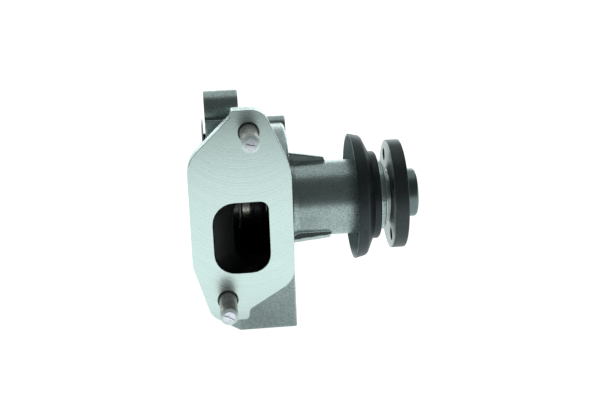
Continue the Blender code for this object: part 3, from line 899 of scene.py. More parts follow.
def lathe(work: bmesh.types.BMesh, corners: Sequence[Corner], segments: int, centre: Point = (0.0, 0.0),
          axis: Along = Along.SHAFT) -> None:
    """Turns an outline about an axis and adds the surface to a mesh.

    Args:
        work: The mesh that it is added to.
        corners: Points (station, radius, fillet) in millimetres, round the section from its front end.
        segments: Facets round the axis.
        centre: The axis's other two coordinates in millimetres.
        axis: The axis's direction.
    """
    solid = corners[0][1] <= 0
    outline = soften(corners, closed=not solid)
    rings: list[list[bmesh.types.BMVert]] = []
    for station, radius in outline:
        turns = 1 if radius <= 0 else segments
        ring = []
        for k in range(turns):
            angle = 2 * math.pi * k / segments
            a, b = radius * math.cos(angle) + centre[0], radius * math.sin(angle) + centre[1]
            at = (station, a, b) if axis is Along.SHAFT else (a, station, b)
            ring.append(work.verts.new([c * MM for c in at]))
        rings.append(ring)
    pairs = list(zip(rings, rings[1:]))
    if not solid:
        pairs.append((rings[-1], rings[0]))
    made = []
    for near, far in pairs:
        for k in range(segments):
            n = (k + 1) % segments
            loop = [near[k % len(near)], near[n % len(near)], far[n % len(far)], far[k % len(far)]]
            loop = [v for i, v in enumerate(loop) if v not in loop[:i]]
            if len(loop) > 2:
                made.append(work.faces.new(loop))
    bmesh.ops.recalc_face_normals(work, faces=made)


def block(work: bmesh.types.BMesh, low: Sequence[float], high: Sequence[float]) -> None:
    """Adds a plain box to a mesh, as a cutting tool.

    Args:
        work: The mesh that it is added to.
        low: Lowest corner in millimetres.
        high: Highest corner in millimetres.
    """
    middle = [(a + b) / 2 * MM for a, b in zip(low, high)]
    size = [(b - a) * MM for a, b in zip(low, high)]
    matrix = Matrix.Translation(middle) @ Matrix.Diagonal((*size, 1.0))
    bmesh.ops.create_cube(work, size=1.0, matrix=matrix)


def shown(work: bmesh.types.BMesh, name: str, materials: Sequence[bpy.types.Material]) -> bpy.types.Object:
    """Turns a working mesh into a linked object.

    Args:
        work: The mesh; it is freed.
        name: The object's name.
        materials: Its material slots.

    Returns:
        The object.
    """
    mesh = bpy.data.meshes.new(name)
    work.to_mesh(mesh)
    work.free()
    for material in materials:
        mesh.materials.append(material)
    item = bpy.data.objects.new(name, mesh)
    bpy.context.scene.collection.objects.link(item)
    return item


def smooth(item: bpy.types.Object, degrees: float = 32.0) -> None:
    """Shades a mesh smooth but for edges sharper than an angle."""
    item.data.shade_smooth()
    item.data.set_sharp_from_angle(angle=math.radians(degrees))


def settle(item: bpy.types.Object, body: Body, nodes: Iterable[str]) -> bpy.types.Object:
    """Gives a piece its body and the frame's nodes that it stands for.

    Args:
        item: The finished piece.
        body: The body that it rides on.
        nodes: The nodes that it stands for.

    Returns:
        The same piece.
    """
    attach(item, body.value)
    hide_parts(*nodes)
    return item


def bake_steps(item: bpy.types.Object) -> None:
    """Applies a piece's modifiers to its mesh.

    Args:
        item: The piece.
    """
    view = bpy.context.evaluated_depsgraph_get()
    final = item.evaluated_get(view)
    mesh = bpy.data.meshes.new_from_object(final, preserve_all_data_layers=True, depsgraph=view)
    item.modifiers.clear()
    item.data = mesh


def carve(item: bpy.types.Object, tools: bpy.types.Object) -> None:
    """Cuts a set of tools out of a piece, which takes the tools' material on the cut faces.

    Args:
        item: The piece.
        tools: The tools; they are removed.
    """
    step = item.modifiers.new("cut", "BOOLEAN")
    step.operation = "DIFFERENCE"
    step.solver = "EXACT"
    step.object = tools
    step.material_mode = "TRANSFER"
    bake_steps(item)
    bpy.data.objects.remove(tools, do_unlink=True)


# ---------------------------------------------------------------------------------------------------------
# Sub-assemblies


@dataclass
class Housing:
    """The cast body: rounded casting with milled faces and turned bores."""

    pad_y: float = -62.0
    pad_rear_y: float = -54.0
    engine_x: float = -121.6
    nose_x: float = -20.0
    nose_r: float = 22.0
    spigot_r: float = 20.7
    spigot_rear_x: float = -23.2
    bearing_bore_r: float = 17.8
    eye_r: float = 30.0
    recess_r: float = 51.2
    recess_floor_x: float = -115.0
    studs: tuple = ((-99.1, 59.7), (-115.0, -34.4))
    counterbore_r: float = 5.6
    lugs: tuple = ((-18.0, 62.6, 19.0), (57.0, 16.0, 16.0), (27.0, -54.5, 16.0))
    lug_r: float = 10.0
    bolt_r: float = 4.4
    long_bolt: tuple = (-22.0, -54.0)
    port_box: tuple = (-121.4, -84.4, -19.6, 21.9)
    chamber_front_x: float = -83.5
    chamber_rear_x: float = -110.4
    chamber_r: float = 39.5
    stock: float = 2.0
    pad_edge: float = 0.35
    engine_edge: float = 0.8
    grid: float = 0.5
    smoothing: int = 3
    rounds: tuple = (
        (0.0, 0.0, 22.0, -70.5, -23.4), (0.0, 0.0, 45.5, -112.0, -76.5), (20.0, 39.2, 7.0, -98.0, -75.0),
        (-18.0, 62.6, 10.0, -124.0, -103.0), (57.0, 16.0, 10.0, -124.0, -106.0),
        (27.0, -54.5, 10.0, -124.0, -106.0),
    )
    round_reach: float = 0.12

    def casting(self, rack: FinishRack) -> bpy.types.Object:
        """Makes the rough casting, with stock left on its machined faces.

        Args:
            rack: The pump's finishes.

        Returns:
            The casting.
        """
        work = bmesh.new()
        work.from_mesh(frame["nodes"]["pump_housing"].data)
        bmesh.ops.remove_doubles(work, verts=work.verts, dist=0.000002)
        for vert in work.verts:
            x, y = vert.co.x, vert.co.y
            if abs(y - self.pad_y * MM) < NEAR:
                vert.co.y -= self.stock * MM
            if abs(x - self.engine_x * MM) < NEAR:
                vert.co.x -= self.stock * MM
            elif abs(x - self.nose_x * MM) < NEAR:
                vert.co.x += self.stock * MM
        item = shown(work, "cast_housing", [rack.cast, rack.milled, rack.bored, rack.port_painted_shade])
        skin = item.modifiers.new("skin", "REMESH")
        skin.mode = "VOXEL"
        skin.voxel_size = self.grid * MM
        soften_step = item.modifiers.new("cast_radii", "SMOOTH")
        soften_step.factor = 0.5
        soften_step.iterations = self.smoothing
        bake_steps(item)
        self.true_rounds(item)
        return item

    def true_rounds(self, item: bpy.types.Object) -> None:
        """Brings the casting's round parts to their true radius, so that they show no flats.

        Args:
            item: The casting.
        """
        for vert in item.data.vertices:
            x, y, z = (c / MM for c in vert.co)
            for centre_y, centre_z, radius, rear, front in self.rounds:
                reach = math.hypot(y - centre_y, z - centre_z)
                if rear < x < front and abs(reach - radius) < self.round_reach:
                    scale = radius / reach
                    vert.co.y = (centre_y + (y - centre_y) * scale) * MM
                    vert.co.z = (centre_z + (z - centre_z) * scale) * MM
                    break

    def face_tools(self, rack: FinishRack) -> bpy.types.Object:
        """Makes the tools that mill the pad and the engine face.

        Args:
            rack: The pump's finishes.

        Returns:
            The tools, as one object.
        """
        work = bmesh.new()
        block(work, (-150, self.pad_y - 12, -90), (-60, self.pad_y, 90))
        block(work, (self.engine_x - 14, self.pad_rear_y, -90), (self.engine_x, 90, 90))
        return shown(work, "face_tools", [rack.milled])

    def bore_tools(self, rack: FinishRack) -> bpy.types.Object:
        """Makes the tools that turn the nose end and the bores and drill the bolt holes.

        Args:
            rack: The pump's finishes.

        Returns:
            The tools, as one object.
        """
        work = bmesh.new()
        front = self.nose_x + 6
        lathe(work, [
            (front, self.bearing_bore_r, 0), (front, self.nose_r + 6, 0),
            (self.spigot_rear_x, self.nose_r + 6, 0),
            (self.spigot_rear_x, self.spigot_r, 0), (self.nose_x - 0.5, self.spigot_r, 0),
            (self.nose_x, self.spigot_r - 0.5, 0), (self.nose_x, self.bearing_bore_r + 0.4, 0),
            (self.nose_x - 0.4, self.bearing_bore_r, 0),
        ], 128)
        rear = self.engine_x - 4
        lathe(work, [
            (-110.0, 0, 0), (-110.0, self.eye_r, 0), (self.recess_floor_x + 0.3, self.eye_r, 0),
            (self.recess_floor_x, self.eye_r + 0.3, 0), (self.recess_floor_x, self.recess_r, 0),
            (rear, self.recess_r, 0), (rear, 0, 0),
        ], 128)
        for place in self.studs:
            mouth, wide = self.pad_y - 1, self.counterbore_r
            lathe(work, [
                (mouth + 5, 0, 0), (mouth + 5, wide, 0.3), (mouth + 1.2, wide, 0),
                (mouth + 0.9, wide + 0.3, 0), (mouth, wide + 0.3, 0), (mouth, 0, 0),
            ], 64, place, Along.PAD_NORMAL)
        for y, z in [*(lug[:2] for lug in self.lugs), self.long_bolt]:
            drill = [(-60, 0, 0), (-60, self.bolt_r, 0), (rear, self.bolt_r, 0), (rear, 0, 0)]
            lathe(work, drill, 48, (y, z))
        for y, z, length in self.lugs:
            seat = self.engine_x + length
            inner, outer = self.bolt_r + 0.2, self.lug_r + 0.4
            lathe(work, [
                (seat + 2, inner, 0), (seat + 2, outer, 0), (seat - 0.25, outer, 0), (seat - 0.25, inner, 0),
            ], 72, (y, z))
        return shown(work, "bore_tools", [rack.bored])

    def break_edges(self, item: bpy.types.Object) -> None:
        """Breaks the sharp edges of the milled faces with a narrow bright chamfer.

        Args:
            item: The machined housing.
        """
        work = bmesh.new()
        work.from_mesh(item.data)
        milled = CastSlot.MILLED.value
        chosen: dict[bool, list[bmesh.types.BMEdge]] = {True: [], False: []}
        for edge in work.edges:
            if len(edge.link_faces) != 2:
                continue
            one, two = edge.link_faces
            flat = {f.material_index for f in (one, two) if abs(f.normal.y) > FLAT or abs(f.normal.x) > FLAT}
            border = one.material_index != two.material_index
            if one.normal.dot(two.normal) < CREASE and milled in flat and border:
                on_engine_face = all(abs(v.co.x - self.engine_x * MM) < NEAR for v in edge.verts)
                chosen[on_engine_face].append(edge)
        for on_engine_face, edges in chosen.items():
            width, steps = (self.engine_edge, 1) if on_engine_face else (self.pad_edge, 2)
            bmesh.ops.bevel(work, geom=[e for e in edges if e.is_valid], offset=width * MM, segments=steps,
                            profile=0.5, affect="EDGES", clamp_overlap=True, material=milled)
        work.to_mesh(item.data)
        work.free()

    def paint_shade_inside(self, item: bpy.types.Object) -> None:
        """Gives the port's passage and the chamber, which hold coolant, the near-black painted-shade finish.

        Args:
            item: The machined housing.
        """
        low_x, high_x, low_z, high_z = self.port_box
        for face in item.data.polygons:
            x, y, z = (c / MM for c in face.center)
            in_port = low_x < x < high_x and low_z < z < high_z and self.pad_y + 0.4 < y < -5
            along_chamber = self.chamber_rear_x - 0.5 < x < self.chamber_front_x + 8
            in_chamber = along_chamber and math.hypot(y, z) < self.chamber_r + 0.6
            # cast faces inside the port and the chamber take the near-black painted shade
            if face.material_index == CastSlot.CAST.value and (in_port or in_chamber):
                face.material_index = CastSlot.PAINTED_SHADE.value

    def build(self, rack: FinishRack) -> bpy.types.Object:
        """Builds and dresses the housing.

        Args:
            rack: The pump's finishes.

        Returns:
            The piece.
        """
        item = self.casting(rack)
        carve(item, self.face_tools(rack))
        carve(item, self.bore_tools(rack))
        self.paint_shade_inside(item)
        self.break_edges(item)
        smooth(item, 38.0)
        for face in item.data.polygons:
            face.use_smooth = face.material_index != CastSlot.MILLED.value
        return settle(item, Body.HOUSING, ["pump_housing"])


@dataclass
class PadStud:
    """A stud in the pad, with a turned groove, a chamfered point and a sheared end."""

    name: str
    place: tuple
    lean: float
    radius: float = 4.8
    pad_y: float = -62.0
    proud: float = 23.3
    sunk: float = 16.5
    end_r: float = 3.3

    def build(self, rack: FinishRack) -> bpy.types.Object:
        """Builds and dresses the stud.

        Args:
            rack: The pump's finishes.

        Returns:
            The piece.
        """
        tip, root, r = self.pad_y - self.proud, self.pad_y + self.sunk, self.radius
        work = bmesh.new()
        lathe(work, [
            (root, 0, 0), (root, r - 0.8, 0.2), (root - 0.8, r, 0.2), (tip + 3.0, r, 0.25),
            (tip + 2.7, r - 0.35, 0.1), (tip + 2.3, r - 0.35, 0.1), (tip + 2.0, r, 0.2), (tip + 1.25, r, 0.5),
            (tip + 0.15, self.end_r + 0.15, 0.1), (tip, self.end_r, 0.05), (tip + 0.05, 0, 0),
        ], 96, self.place, Along.PAD_NORMAL)
        end = ShearedSteel(f"{self.name}_cut_end", (self.place[0], tip, self.place[1]), self.lean).material()
        item = shown(work, f"{self.name}_turned", [rack.stud, end, rack.stud_chamfer_painted_highlight])
        for face in item.data.polygons:
            x, y, z = (c / MM for c in face.center)
            if y < tip + 1.35:
                on_end = math.hypot(x - self.place[0], z - self.place[1]) < self.end_r
                # chamfer faces take the near-white painted highlight
                face.material_index = 1 if on_end else 2
        smooth(item, 40.0)
        return settle(item, Body.HOUSING, [self.name])


@dataclass
class CoverRing:
    """The stepped ring on the nose, black outside and greyer inside."""

    seat_r: float = 22.3
    wall: float = 1.3

    def build(self, rack: FinishRack) -> bpy.types.Object:
        """Builds and dresses the ring.

        Args:
            rack: The pump's finishes.

        Returns:
            The piece.
        """
        w = self.wall
        work = bmesh.new()
        lathe(work, [
            (-23.4, self.seat_r, 0.2), (-23.4, 25.0, 0), (-24.3, 25.9, 0.8), (-27.4, 25.9, 0.7),
            (-29.9, 31.3, 1.2), (-31.4, 34.6, 1.0), (-32.6, 35.6, 0.8), (-38.4, 37.0, 0.3),
            (-38.4, 37.0 - w, 0.3),
            (-33.2, 35.6 - w, 1.0), (-32.2, 33.4, 0.8), (-30.9, 30.6, 1.0), (-28.6, 25.0, 0.8),
            (-28.6, self.seat_r, 0.2),
        ], 144)
        item = shown(work, "cover_ring_drawn", [rack.ring_black, rack.ring_inside])
        for face in item.data.polygons:
            radius = math.hypot(face.center.y, face.center.z)
            outward = (face.normal.y * face.center.y + face.normal.z * face.center.z) / max(radius, 1e-6)
            if face.center.x < -28.5 * MM and (outward < -0.15 or face.normal.x < -0.75):
                face.material_index = 1
        smooth(item)
        return settle(item, Body.HOUSING, ["cover_ring"])


@dataclass
class PulleyHub:
    """The hub flange with its pilot boss, its tail and four tapped holes."""

    flange_front: float = -8.5
    flange_rear: float = -16.4
    tail_x: float = -21.5
    flange_r: float = 32.0
    pilot_r: float = 14.2
    tail_r: float = 14.4
    bore_r: float = 9.3
    hole_r: float = 3.35
    hole_circle: float = 24.3
    first_hole: float = 31.0

    def drills(self, rack: FinishRack) -> bpy.types.Object:
        """Makes the tools for the four holes, each with a countersunk mouth on both faces.

        Args:
            rack: The pump's finishes.

        Returns:
            The tools, as one object.
        """
        work = bmesh.new()
        front, rear, r = self.flange_front, self.flange_rear, self.hole_r
        for k in range(4):
            turn = math.radians(self.first_hole + 90 * k)
            place = (self.hole_circle * math.sin(turn), self.hole_circle * math.cos(turn))
            lathe(work, [
                (front + 1, 0, 0), (front + 1, r + 1.5, 0), (front - 0.5, r, 0), (rear + 0.5, r, 0),
                (rear - 1, r + 1.5, 0), (rear - 1, 0, 0),
            ], 48, place)
        return shown(work, "hub_drills", [rack.hub_black])

    def build(self, rack: FinishRack) -> bpy.types.Object:
        """Builds and dresses the hub.

        Args:
            rack: The pump's finishes.

        Returns:
            The piece.
        """
        work = bmesh.new()
        lathe(work, [
            (0.0, self.bore_r, 0.2), (0.0, self.pilot_r - 1.0, 0.2), (-1.0, self.pilot_r, 0.3),
            (self.flange_front, self.pilot_r, 0.4), (self.flange_front, self.flange_r, 0.9),
            (self.flange_rear, self.flange_r, 0.5), (self.flange_rear, self.tail_r, 0.5),
            (self.tail_x, self.tail_r, 0.6), (self.tail_x, self.bore_r, 0.2),
        ], 144)
        item = shown(work, "hub_turned", [rack.hub_black, rack.hub_face, rack.pilot])
        for face in item.data.polygons:
            radius = math.hypot(face.center.y, face.center.z) / MM
            x = face.center.x / MM
            if x > self.flange_front - 0.05 and radius < self.pilot_r + 0.1:
                face.material_index = 2
            elif x <= self.flange_rear + 0.02 and radius < self.flange_r - 0.3:
                face.material_index = 1
        carve(item, self.drills(rack))
        smooth(item)
        return settle(item, Body.ROTOR, ["hub_flange"])


@dataclass
class BearingUnit:
    """The shaft with its two ball rows, cages, outer ring, lip seals and slinger."""

    shaft_r: float = 9.0
    rows: tuple = (-31.5, -54.0)
    ball_r: float = 3.05
    ball_circle: float = 11.8
    balls: int = 8
    gap: float = 0.25
    ring_x: tuple = (-23.0, -62.5)
    shaft_rear: float = -125.6

    def groove(self, row: float, bottom: float, ball_r: float) -> list[Corner]:
        """Lists a ball groove's arc.

        Args:
            row: The row's station.
            bottom: The arc's radius from the shaft axis at its deepest point.
            ball_r: The arc's own radius; negative makes it bulge outwards.

        Returns:
            Corners from front to rear.
        """
        reach, points = math.radians(26), 9
        turns = [reach - 2 * reach * k / (points - 1) for k in range(points)]
        return [(row + abs(ball_r) * math.sin(t), bottom + ball_r * (1 - math.cos(t)), 0.0) for t in turns]

    def shaft(self, rack: FinishRack) -> bpy.types.Object:
        """Builds the shaft.

        Args:
            rack: The pump's finishes.

        Returns:
            The piece.
        """
        work = bmesh.new()
        bottom = self.ball_circle - self.ball_r - self.gap
        corners: list[Corner] = [(0.0, 0, 0), (0.0, self.shaft_r - 0.6, 0.1), (-0.6, self.shaft_r, 0.15)]
        for row in self.rows:
            corners += self.groove(row, bottom, self.ball_r + self.gap)
        end = self.shaft_rear
        corners += [(end + 0.8, self.shaft_r, 0.2), (end, self.shaft_r - 0.8, 0.1), (end, 0, 0)]
        lathe(work, corners, 96)
        item = shown(work, "shaft_ground", [rack.shaft])
        smooth(item)
        return settle(item, Body.ROTOR, ["bearing_shaft"])

    def outer_ring(self, rack: FinishRack) -> bpy.types.Object:
        """Builds the outer ring.

        Args:
            rack: The pump's finishes.

        Returns:
            The piece.
        """
        work = bmesh.new()
        front, rear = self.ring_x
        top = self.ball_circle + self.ball_r + self.gap
        corners: list[Corner] = [
            (front, 14.6, 0.15), (front, 17.5, 0.6), (rear, 17.5, 0.6), (rear, 14.6, 0.15),
        ]
        for row in reversed(self.rows):
            corners += list(reversed(self.groove(row, top, -(self.ball_r + self.gap))))
        lathe(work, corners, 96)
        item = shown(work, "outer_ring_ground", [rack.race])
        smooth(item)
        return settle(item, Body.HOUSING, ["bearing_outer_ring"])

    def ball_set(self, label: str, row: float, body: Body, rack: FinishRack) -> None:
        """Builds one row's balls and dresses its cage.

        Args:
            label: front or rear.
            row: The row's station.
            body: The body that the row rides on.
            rack: The pump's finishes.
        """
        for k in range(self.balls):
            turn = 2 * math.pi * k / self.balls
            spin = Matrix.Translation((row * MM, 0, 0)) @ Matrix.Rotation(turn, 4, "X")
            place = spin @ Matrix.Translation((0, -self.ball_circle * MM, 0))
            work = bmesh.new()
            bmesh.ops.create_icosphere(work, subdivisions=4, radius=self.ball_r * MM, matrix=place)
            item = shown(work, f"{label}_ball_{k + 1}_polished", [rack.ball])
            item.data.shade_smooth()
            settle(item, body, [f"{label}_ball_{k + 1}"])
        dress(f"{label}_cage", rack.polymer)

    def build(self, rack: FinishRack) -> list[bpy.types.Object]:
        """Builds and dresses the bearing.

        Args:
            rack: The pump's finishes.

        Returns:
            Its new pieces.
        """
        self.ball_set("front", self.rows[0], Body.FRONT_BALLS, rack)
        self.ball_set("rear", self.rows[1], Body.REAR_BALLS, rack)
        for name in ("front_bearing_seal", "rear_bearing_seal"):
            dress(name, rack.rubber)
        dress("water_slinger", rack.slinger)
        return [self.shaft(rack), self.outer_ring(rack)]


@dataclass
class CoolantSeal:
    """The mechanical seal between the bearing and the chamber."""

    case_outer: float = 15.0
    rim_x: float = -83.8
    spring_r: float = 12.95
    wire_r: float = 0.45
    spring_x: tuple = (-77.0, -91.0)
    coils: int = 4
    cup_x: tuple = (-98.6, -99.4, -101.0, -103.7)
    cup_r: tuple = (13.9, 14.6)

    def case(self, rack: FinishRack) -> bpy.types.Object:
        """Builds the drawn case.

        Args:
            rack: The pump's finishes.

        Returns:
            The piece.
        """
        outer, rim, wall = self.case_outer, self.rim_x, 0.8
        work = bmesh.new()
        lathe(work, [
            (-75.2, 11.4, 0.1), (-75.2, outer, 0.8), (rim, outer, 0.2), (rim, 18.4, 0.3),
            (rim - wall, 18.4, 0.3), (rim - wall, outer - wall, 0.5), (-76.0, outer - wall, 0.4),
            (-76.0, 11.4, 0.1),
        ], 112)
        item = shown(work, "seal_case_drawn", [rack.seal_case])
        smooth(item)
        return settle(item, Body.HOUSING, ["seal_case"])

    def ring(self, node: str, name: str, size: tuple, body: Body, slot: str,
             material: bpy.types.Material) -> bpy.types.Object:
        """Builds one face ring.

        Args:
            node: The node that it stands for.
            name: The piece's name.
            size: Front, rear, inner radius and outer radius in millimetres.
            body: The body that it rides on.
            slot: The record's material slot; not used.
            material: Its finish.

        Returns:
            The ring.
        """
        front, rear, inner, outer = size
        work = bmesh.new()
        section = [(front, inner, 0.15), (front, outer, 0.35), (rear, outer, 0.35), (rear, inner, 0.15)]
        lathe(work, section, 112)
        item = shown(work, name, [material])
        smooth(item)
        return settle(item, body, [node])

    def cup(self, rack: FinishRack) -> bpy.types.Object:
        """Builds the drawn cup that carries the mating ring on the shaft.

        Args:
            rack: The pump's finishes.

        Returns:
            The piece.
        """
        rim, sleeve, step, rear = self.cup_x
        inner, outer = self.cup_r
        work = bmesh.new()
        lathe(work, [
            (sleeve, 9.3, 0.1), (sleeve, 10.6, 0.2), (step, 10.6, 0), (step, inner, 0), (rim, inner, 0.1),
            (rim, outer, 0.2), (rear, outer, 0.6), (rear, 9.3, 0.1),
        ], 112)
        item = shown(work, "mating_cup_drawn", [rack.seal_case])
        smooth(item)
        return settle(item, Body.ROTOR, ["mating_cup"])

    def spring(self, rack: FinishRack) -> bpy.types.Object:
        """Builds the round-wire spring as a swept mesh.

        Args:
            rack: The pump's finishes.

        Returns:
            The piece.
        """
        front, rear = self.spring_x
        per_turn, around = 48, 12
        count = self.coils * per_turn
        work = bmesh.new()
        rings = []
        for k in range(count + 1):
            turn = 2 * math.pi * k / per_turn
            out = Vector((0, math.cos(turn), math.sin(turn)))
            centre = out * self.spring_r + Vector((front + (rear - front) * k / count, 0, 0))
            ring = []
            for m in range(around):
                tilt = 2 * math.pi * m / around
                side = out * math.cos(tilt) + Vector((1, 0, 0)) * math.sin(tilt)
                ring.append(work.verts.new((centre + side * self.wire_r) * MM))
            rings.append(ring)
        for near, far in zip(rings, rings[1:]):
            for m in range(around):
                n = (m + 1) % around
                work.faces.new((near[m], near[n], far[n], far[m]))
        work.faces.new(rings[0][::-1])
        work.faces.new(rings[-1])
        bmesh.ops.recalc_face_normals(work, faces=work.faces)
        item = shown(work, "seal_spring_wound", [rack.spring])
        smooth(item)
        return settle(item, Body.HOUSING, ["seal_spring"])

    def build(self, rack: FinishRack) -> list[bpy.types.Object]:
        """Builds and dresses the seal.

        Args:
            rack: The pump's finishes.

        Returns:
            Its new pieces.
        """
        dress("seal_bellows", rack.rubber)
        carbon = self.ring("carbon_ring", "carbon_ring_lapped", (-91.8, -96.4, 10.0, 13.8), Body.HOUSING,
                           "carbon", rack.carbon)
        mating = self.ring("mating_ring", "mating_ring_lapped", (-96.7, -100.7, 10.9, 13.6), Body.ROTOR,
                           "ceramic", rack.ceramic)
        return [self.case(rack), self.spring(rack), carbon, mating, self.cup(rack)]


@dataclass
class Impeller:
    """The stamped plate with leaning blades, and the steel bush that carries it."""

    plate_front: float = -122.9
    plate_rear: float = -123.8
    plate_r: float = 50.5
    hole_r: float = 11.1
    blade_front: float = -115.6
    blades: int = 7
    blade_inner: float = 19.0
    blade_outer: float = 46.0
    blade_lean: float = 48.0
    sheet: float = 1.2

    def blade(self, work: bmesh.types.BMesh, turn: float) -> None:
        """Adds one blade: a bent strip with rounded front corners that stands on the plate.

        Args:
            work: The mesh that it is added to.
            turn: The blade's turn about the shaft in radians.
        """
        points, rows = 25, 6
        grid: list[list[list[bmesh.types.BMVert]]] = []
        base = self.plate_front - 0.4
        for side in (-1, 1):
            sheet = []
            for k in range(points):
                share = k / (points - 1)
                radius = self.blade_inner + (self.blade_outer - self.blade_inner) * share
                angle = turn + math.radians(self.blade_lean) * share ** 1.3 + side * self.sheet / 2 / radius
                near_end = min(share, 1 - share) * (self.blade_outer - self.blade_inner)
                drop = 0.0 if near_end > 1.6 else 1.6 - math.sqrt(max(0.0, 1.6 ** 2 - (1.6 - near_end) ** 2))
                top = self.blade_front - drop
                column = []
                for m in range(rows):
                    x = base + (top - base) * m / (rows - 1)
                    y, z = radius * math.cos(angle), radius * math.sin(angle)
                    column.append(work.verts.new((x * MM, y * MM, z * MM)))
                sheet.append(column)
            grid.append(sheet)
        made = []
        for sheet in grid:
            for a, b in zip(sheet, sheet[1:]):
                for m in range(rows - 1):
                    made.append(work.faces.new((a[m], a[m + 1], b[m + 1], b[m])))
        low, high = grid
        for k in range(points - 1):
            made.append(work.faces.new((low[k][-1], low[k + 1][-1], high[k + 1][-1], high[k][-1])))
            made.append(work.faces.new((low[k][0], high[k][0], high[k + 1][0], low[k + 1][0])))
        for k in (0, points - 1):
            for m in range(rows - 1):
                made.append(work.faces.new((low[k][m], low[k][m + 1], high[k][m + 1], high[k][m])))
        bmesh.ops.recalc_face_normals(work, faces=made)

    def wheel(self, rack: FinishRack) -> bpy.types.Object:
        """Builds the plate and its blades.

        Args:
            rack: The pump's finishes.

        Returns:
            The piece.
        """
        work = bmesh.new()
        lathe(work, [
            (self.plate_front, self.hole_r, 0.1), (self.plate_front, self.plate_r, 0.25),
            (self.plate_rear, self.plate_r, 0.25), (self.plate_rear, self.hole_r, 0.1),
        ], 160)
        for k in range(self.blades):
            self.blade(work, 2 * math.pi * k / self.blades)
        item = shown(work, "impeller_stamped", [rack.stamped])
        smooth(item, 40.0)
        return settle(item, Body.ROTOR, ["impeller"])

    def bush(self, rack: FinishRack) -> bpy.types.Object:
        """Builds the bush.

        Args:
            rack: The pump's finishes.

        Returns:
            The piece.
        """
        work = bmesh.new()
        step = self.plate_front + 0.3
        lathe(work, [
            (-104.0, 9.3, 0.2), (-104.0, 15.3, 0.25), (-105.0, 15.3, 0.25), (-105.0, 13.0, 0.4),
            (step, 13.0, 0.3), (step, 10.8, 0.2), (-125.0, 10.8, 0.3), (-125.0, 9.3, 0.2),
        ], 112)
        item = shown(work, "impeller_bush_turned", [rack.bush, rack.collar])
        for face in item.data.polygons:
            if math.hypot(face.center.y, face.center.z) > 13.2 * MM:
                face.material_index = 1
        smooth(item)
        return settle(item, Body.ROTOR, ["impeller_bush"])

    def build(self, rack: FinishRack) -> list[bpy.types.Object]:
        """Builds and dresses the impeller."""
        return [self.wheel(rack), self.bush(rack)]


def dress(node: str, material: bpy.types.Material) -> None:
    """Gives a node of the frame its finish and leaves its shape alone.

    Args:
        node: The node's name.
        material: The finish.
    """
    slots = frame["nodes"][node].material_slots
    for slot in slots:
        slot.material = material
    LOG.info("%s keeps its shape and takes %s", node, material.name)


# ---------------------------------------------------------------------------------------------------------
# Studio


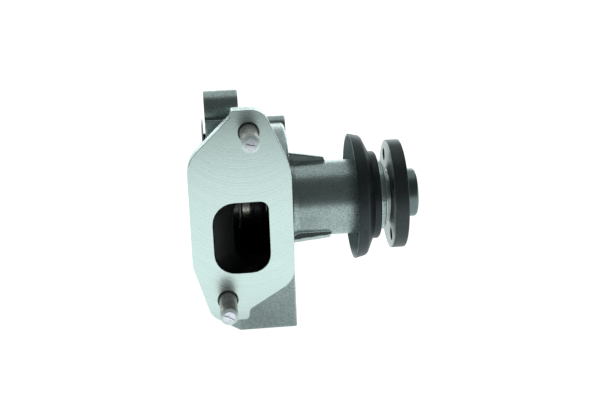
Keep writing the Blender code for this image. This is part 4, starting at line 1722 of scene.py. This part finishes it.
@dataclass
class Studio:
    """A pale floor, soft light and the camera."""

    floor_z: float = -65.6
    azimuth: float = 4.6
    elevation: float = 19.0
    roll: float = 2.14
    distance: float = 688.26
    target: tuple = (-68.54, 0.0, -0.58)
    lens: float = 69.93
    tint: tuple = (0.89, 1.0, 0.99)
    paper_full: float = 0.46
    paper_end: float = 0.51
    paper_glow: float = 0.95
    paper_low: float = 0.06
    shade_at: tuple = (-0.1, -0.065)
    shade_r: float = 0.075
    shade_depth: float = 0.55
    air: tuple = (0.46, 0.53, 0.53)
    air_strength: float = 0.2
    lamps: tuple = (
        ("overhead", (-0.1, 0.8, 1.5), (-0.07, 0.0, 0.0), (2.6, 2.0), 10.5),
        ("back_wall", (-0.07, 1.9, 0.45), (-0.07, 0.0, 0.1), (3.6, 0.9), 22.0),
    )

    def floor(self) -> None:
        """Makes the floor, which shows white and glows less towards the front; its glow is darkened in a disc
        just before the pad, a painted shadow of the pump.
        """
        work = bmesh.new()
        bmesh.ops.create_grid(work, x_segments=1, y_segments=1, size=6.0,
                              matrix=Matrix.Translation((0, 0, self.floor_z * MM)))
        surface = Surface("pale_floor", (0.4, 0.4, 0.4), 0.9, 0.0)
        g = surface.graph
        across, depth, _ = g.split(g.place())
        paper = g.spread(depth, -self.paper_end, -self.paper_full, self.paper_low, self.paper_glow)
        # painted shadow: the glow that lights the pump is darker in a disc just before the pad
        aside = g.math("SUBTRACT", across, self.shade_at[0])
        nearer = g.math("SUBTRACT", depth, self.shade_at[1])
        reach = g.math("ADD", g.math("MULTIPLY", aside, aside), g.math("MULTIPLY", nearer, nearer))
        shade = g.spread(g.math("SQRT", reach), self.shade_r * 0.2, self.shade_r, self.shade_depth, 1.0)
        paper = g.math("MULTIPLY", paper, shade)
        seen = g.add("ShaderNodeLightPath").outputs["Is Camera Ray"]
        surface.set("Specular IOR Level", 0.0)
        surface.set("Emission Color", g.blend(seen, self.tint, (1.0, 1.0, 1.0)))
        surface.set("Emission Strength", g.math("MAXIMUM", seen, paper))
        shown(work, "floor", [surface.material])

    def lamp(self, name: str, place: tuple, aim: tuple, size: tuple, power: float) -> None:
        """Adds one soft rectangular lamp.

        Args:
            name: The lamp's name.
            place: Where it stands, in metres.
            aim: The point that it faces, in metres.
            size: Width and height in metres.
            power: Power in watts.
        """
        data = bpy.data.lights.new(name, "AREA")
        data.shape = "RECTANGLE"
        data.size, data.size_y = size
        data.energy = power
        data.color = self.tint
        item = bpy.data.objects.new(name, data)
        item.location = place
        item.rotation_mode = "QUATERNION"
        item.rotation_quaternion = (Vector(aim) - Vector(place)).to_track_quat("-Z", "Y")
        bpy.context.scene.collection.objects.link(item)

    def lights(self) -> None:
        """Sets the soft light and the pale surroundings."""
        world = bpy.data.worlds.new("studio_air")
        bpy.context.scene.world = world
        world.use_nodes = True
        sky = world.node_tree.nodes["Background"]
        sky.inputs["Color"].default_value = rgba(self.air)
        sky.inputs["Strength"].default_value = self.air_strength
        for name, place, aim, size, power in self.lamps:
            self.lamp(name, place, aim, size, power)

    def camera(self) -> None:
        """Makes the camera."""
        a, e, roll = (math.radians(v) for v in (self.azimuth, self.elevation, self.roll))
        ahead = Vector((math.sin(a) * math.cos(e), math.cos(a) * math.cos(e), -math.sin(e)))
        level = Vector((math.cos(a), -math.sin(a), 0.0))
        upright = level.cross(ahead)
        right = math.cos(roll) * level - math.sin(roll) * upright
        up = math.sin(roll) * level + math.cos(roll) * upright
        place = (Vector(self.target) - ahead * self.distance) * MM
        data = bpy.data.cameras.new("camera")
        data.lens = self.lens
        data.sensor_width = 36.0
        data.clip_start, data.clip_end = 0.01, 50.0
        item = bpy.data.objects.new("camera", data)
        item.matrix_world = Matrix((
            (right.x, up.x, -ahead.x, place.x), (right.y, up.y, -ahead.y, place.y),
            (right.z, up.z, -ahead.z, place.z), (0, 0, 0, 1),
        ))
        bpy.context.scene.collection.objects.link(item)
        bpy.context.scene.camera = item

    def build(self) -> None:
        """Sets the whole studio."""
        self.floor()
        self.lights()
        self.camera()
        bpy.context.scene.view_settings.view_transform = "Standard"


def main() -> None:
    """Builds every sub-assembly, then the studio."""
    logging.basicConfig(level=logging.INFO, format="%(name)s: %(message)s")
    rack = FinishRack()
    housing = Housing()
    assemblies = [
        housing,
        PadStud("upper_stud", housing.studs[0], 0.16),
        PadStud("lower_stud", housing.studs[1], 0.6),
        CoverRing(),
        PulleyHub(),
        BearingUnit(),
        CoolantSeal(),
        Impeller(),
    ]
    for assembly in assemblies:
        made = assembly.build(rack)
        for item in made if isinstance(made, list) else [made]:
            LOG.info("%s: %d faces", item.name, len(item.data.polygons))
    Studio().build()


if __name__ == "__main__":
    main()
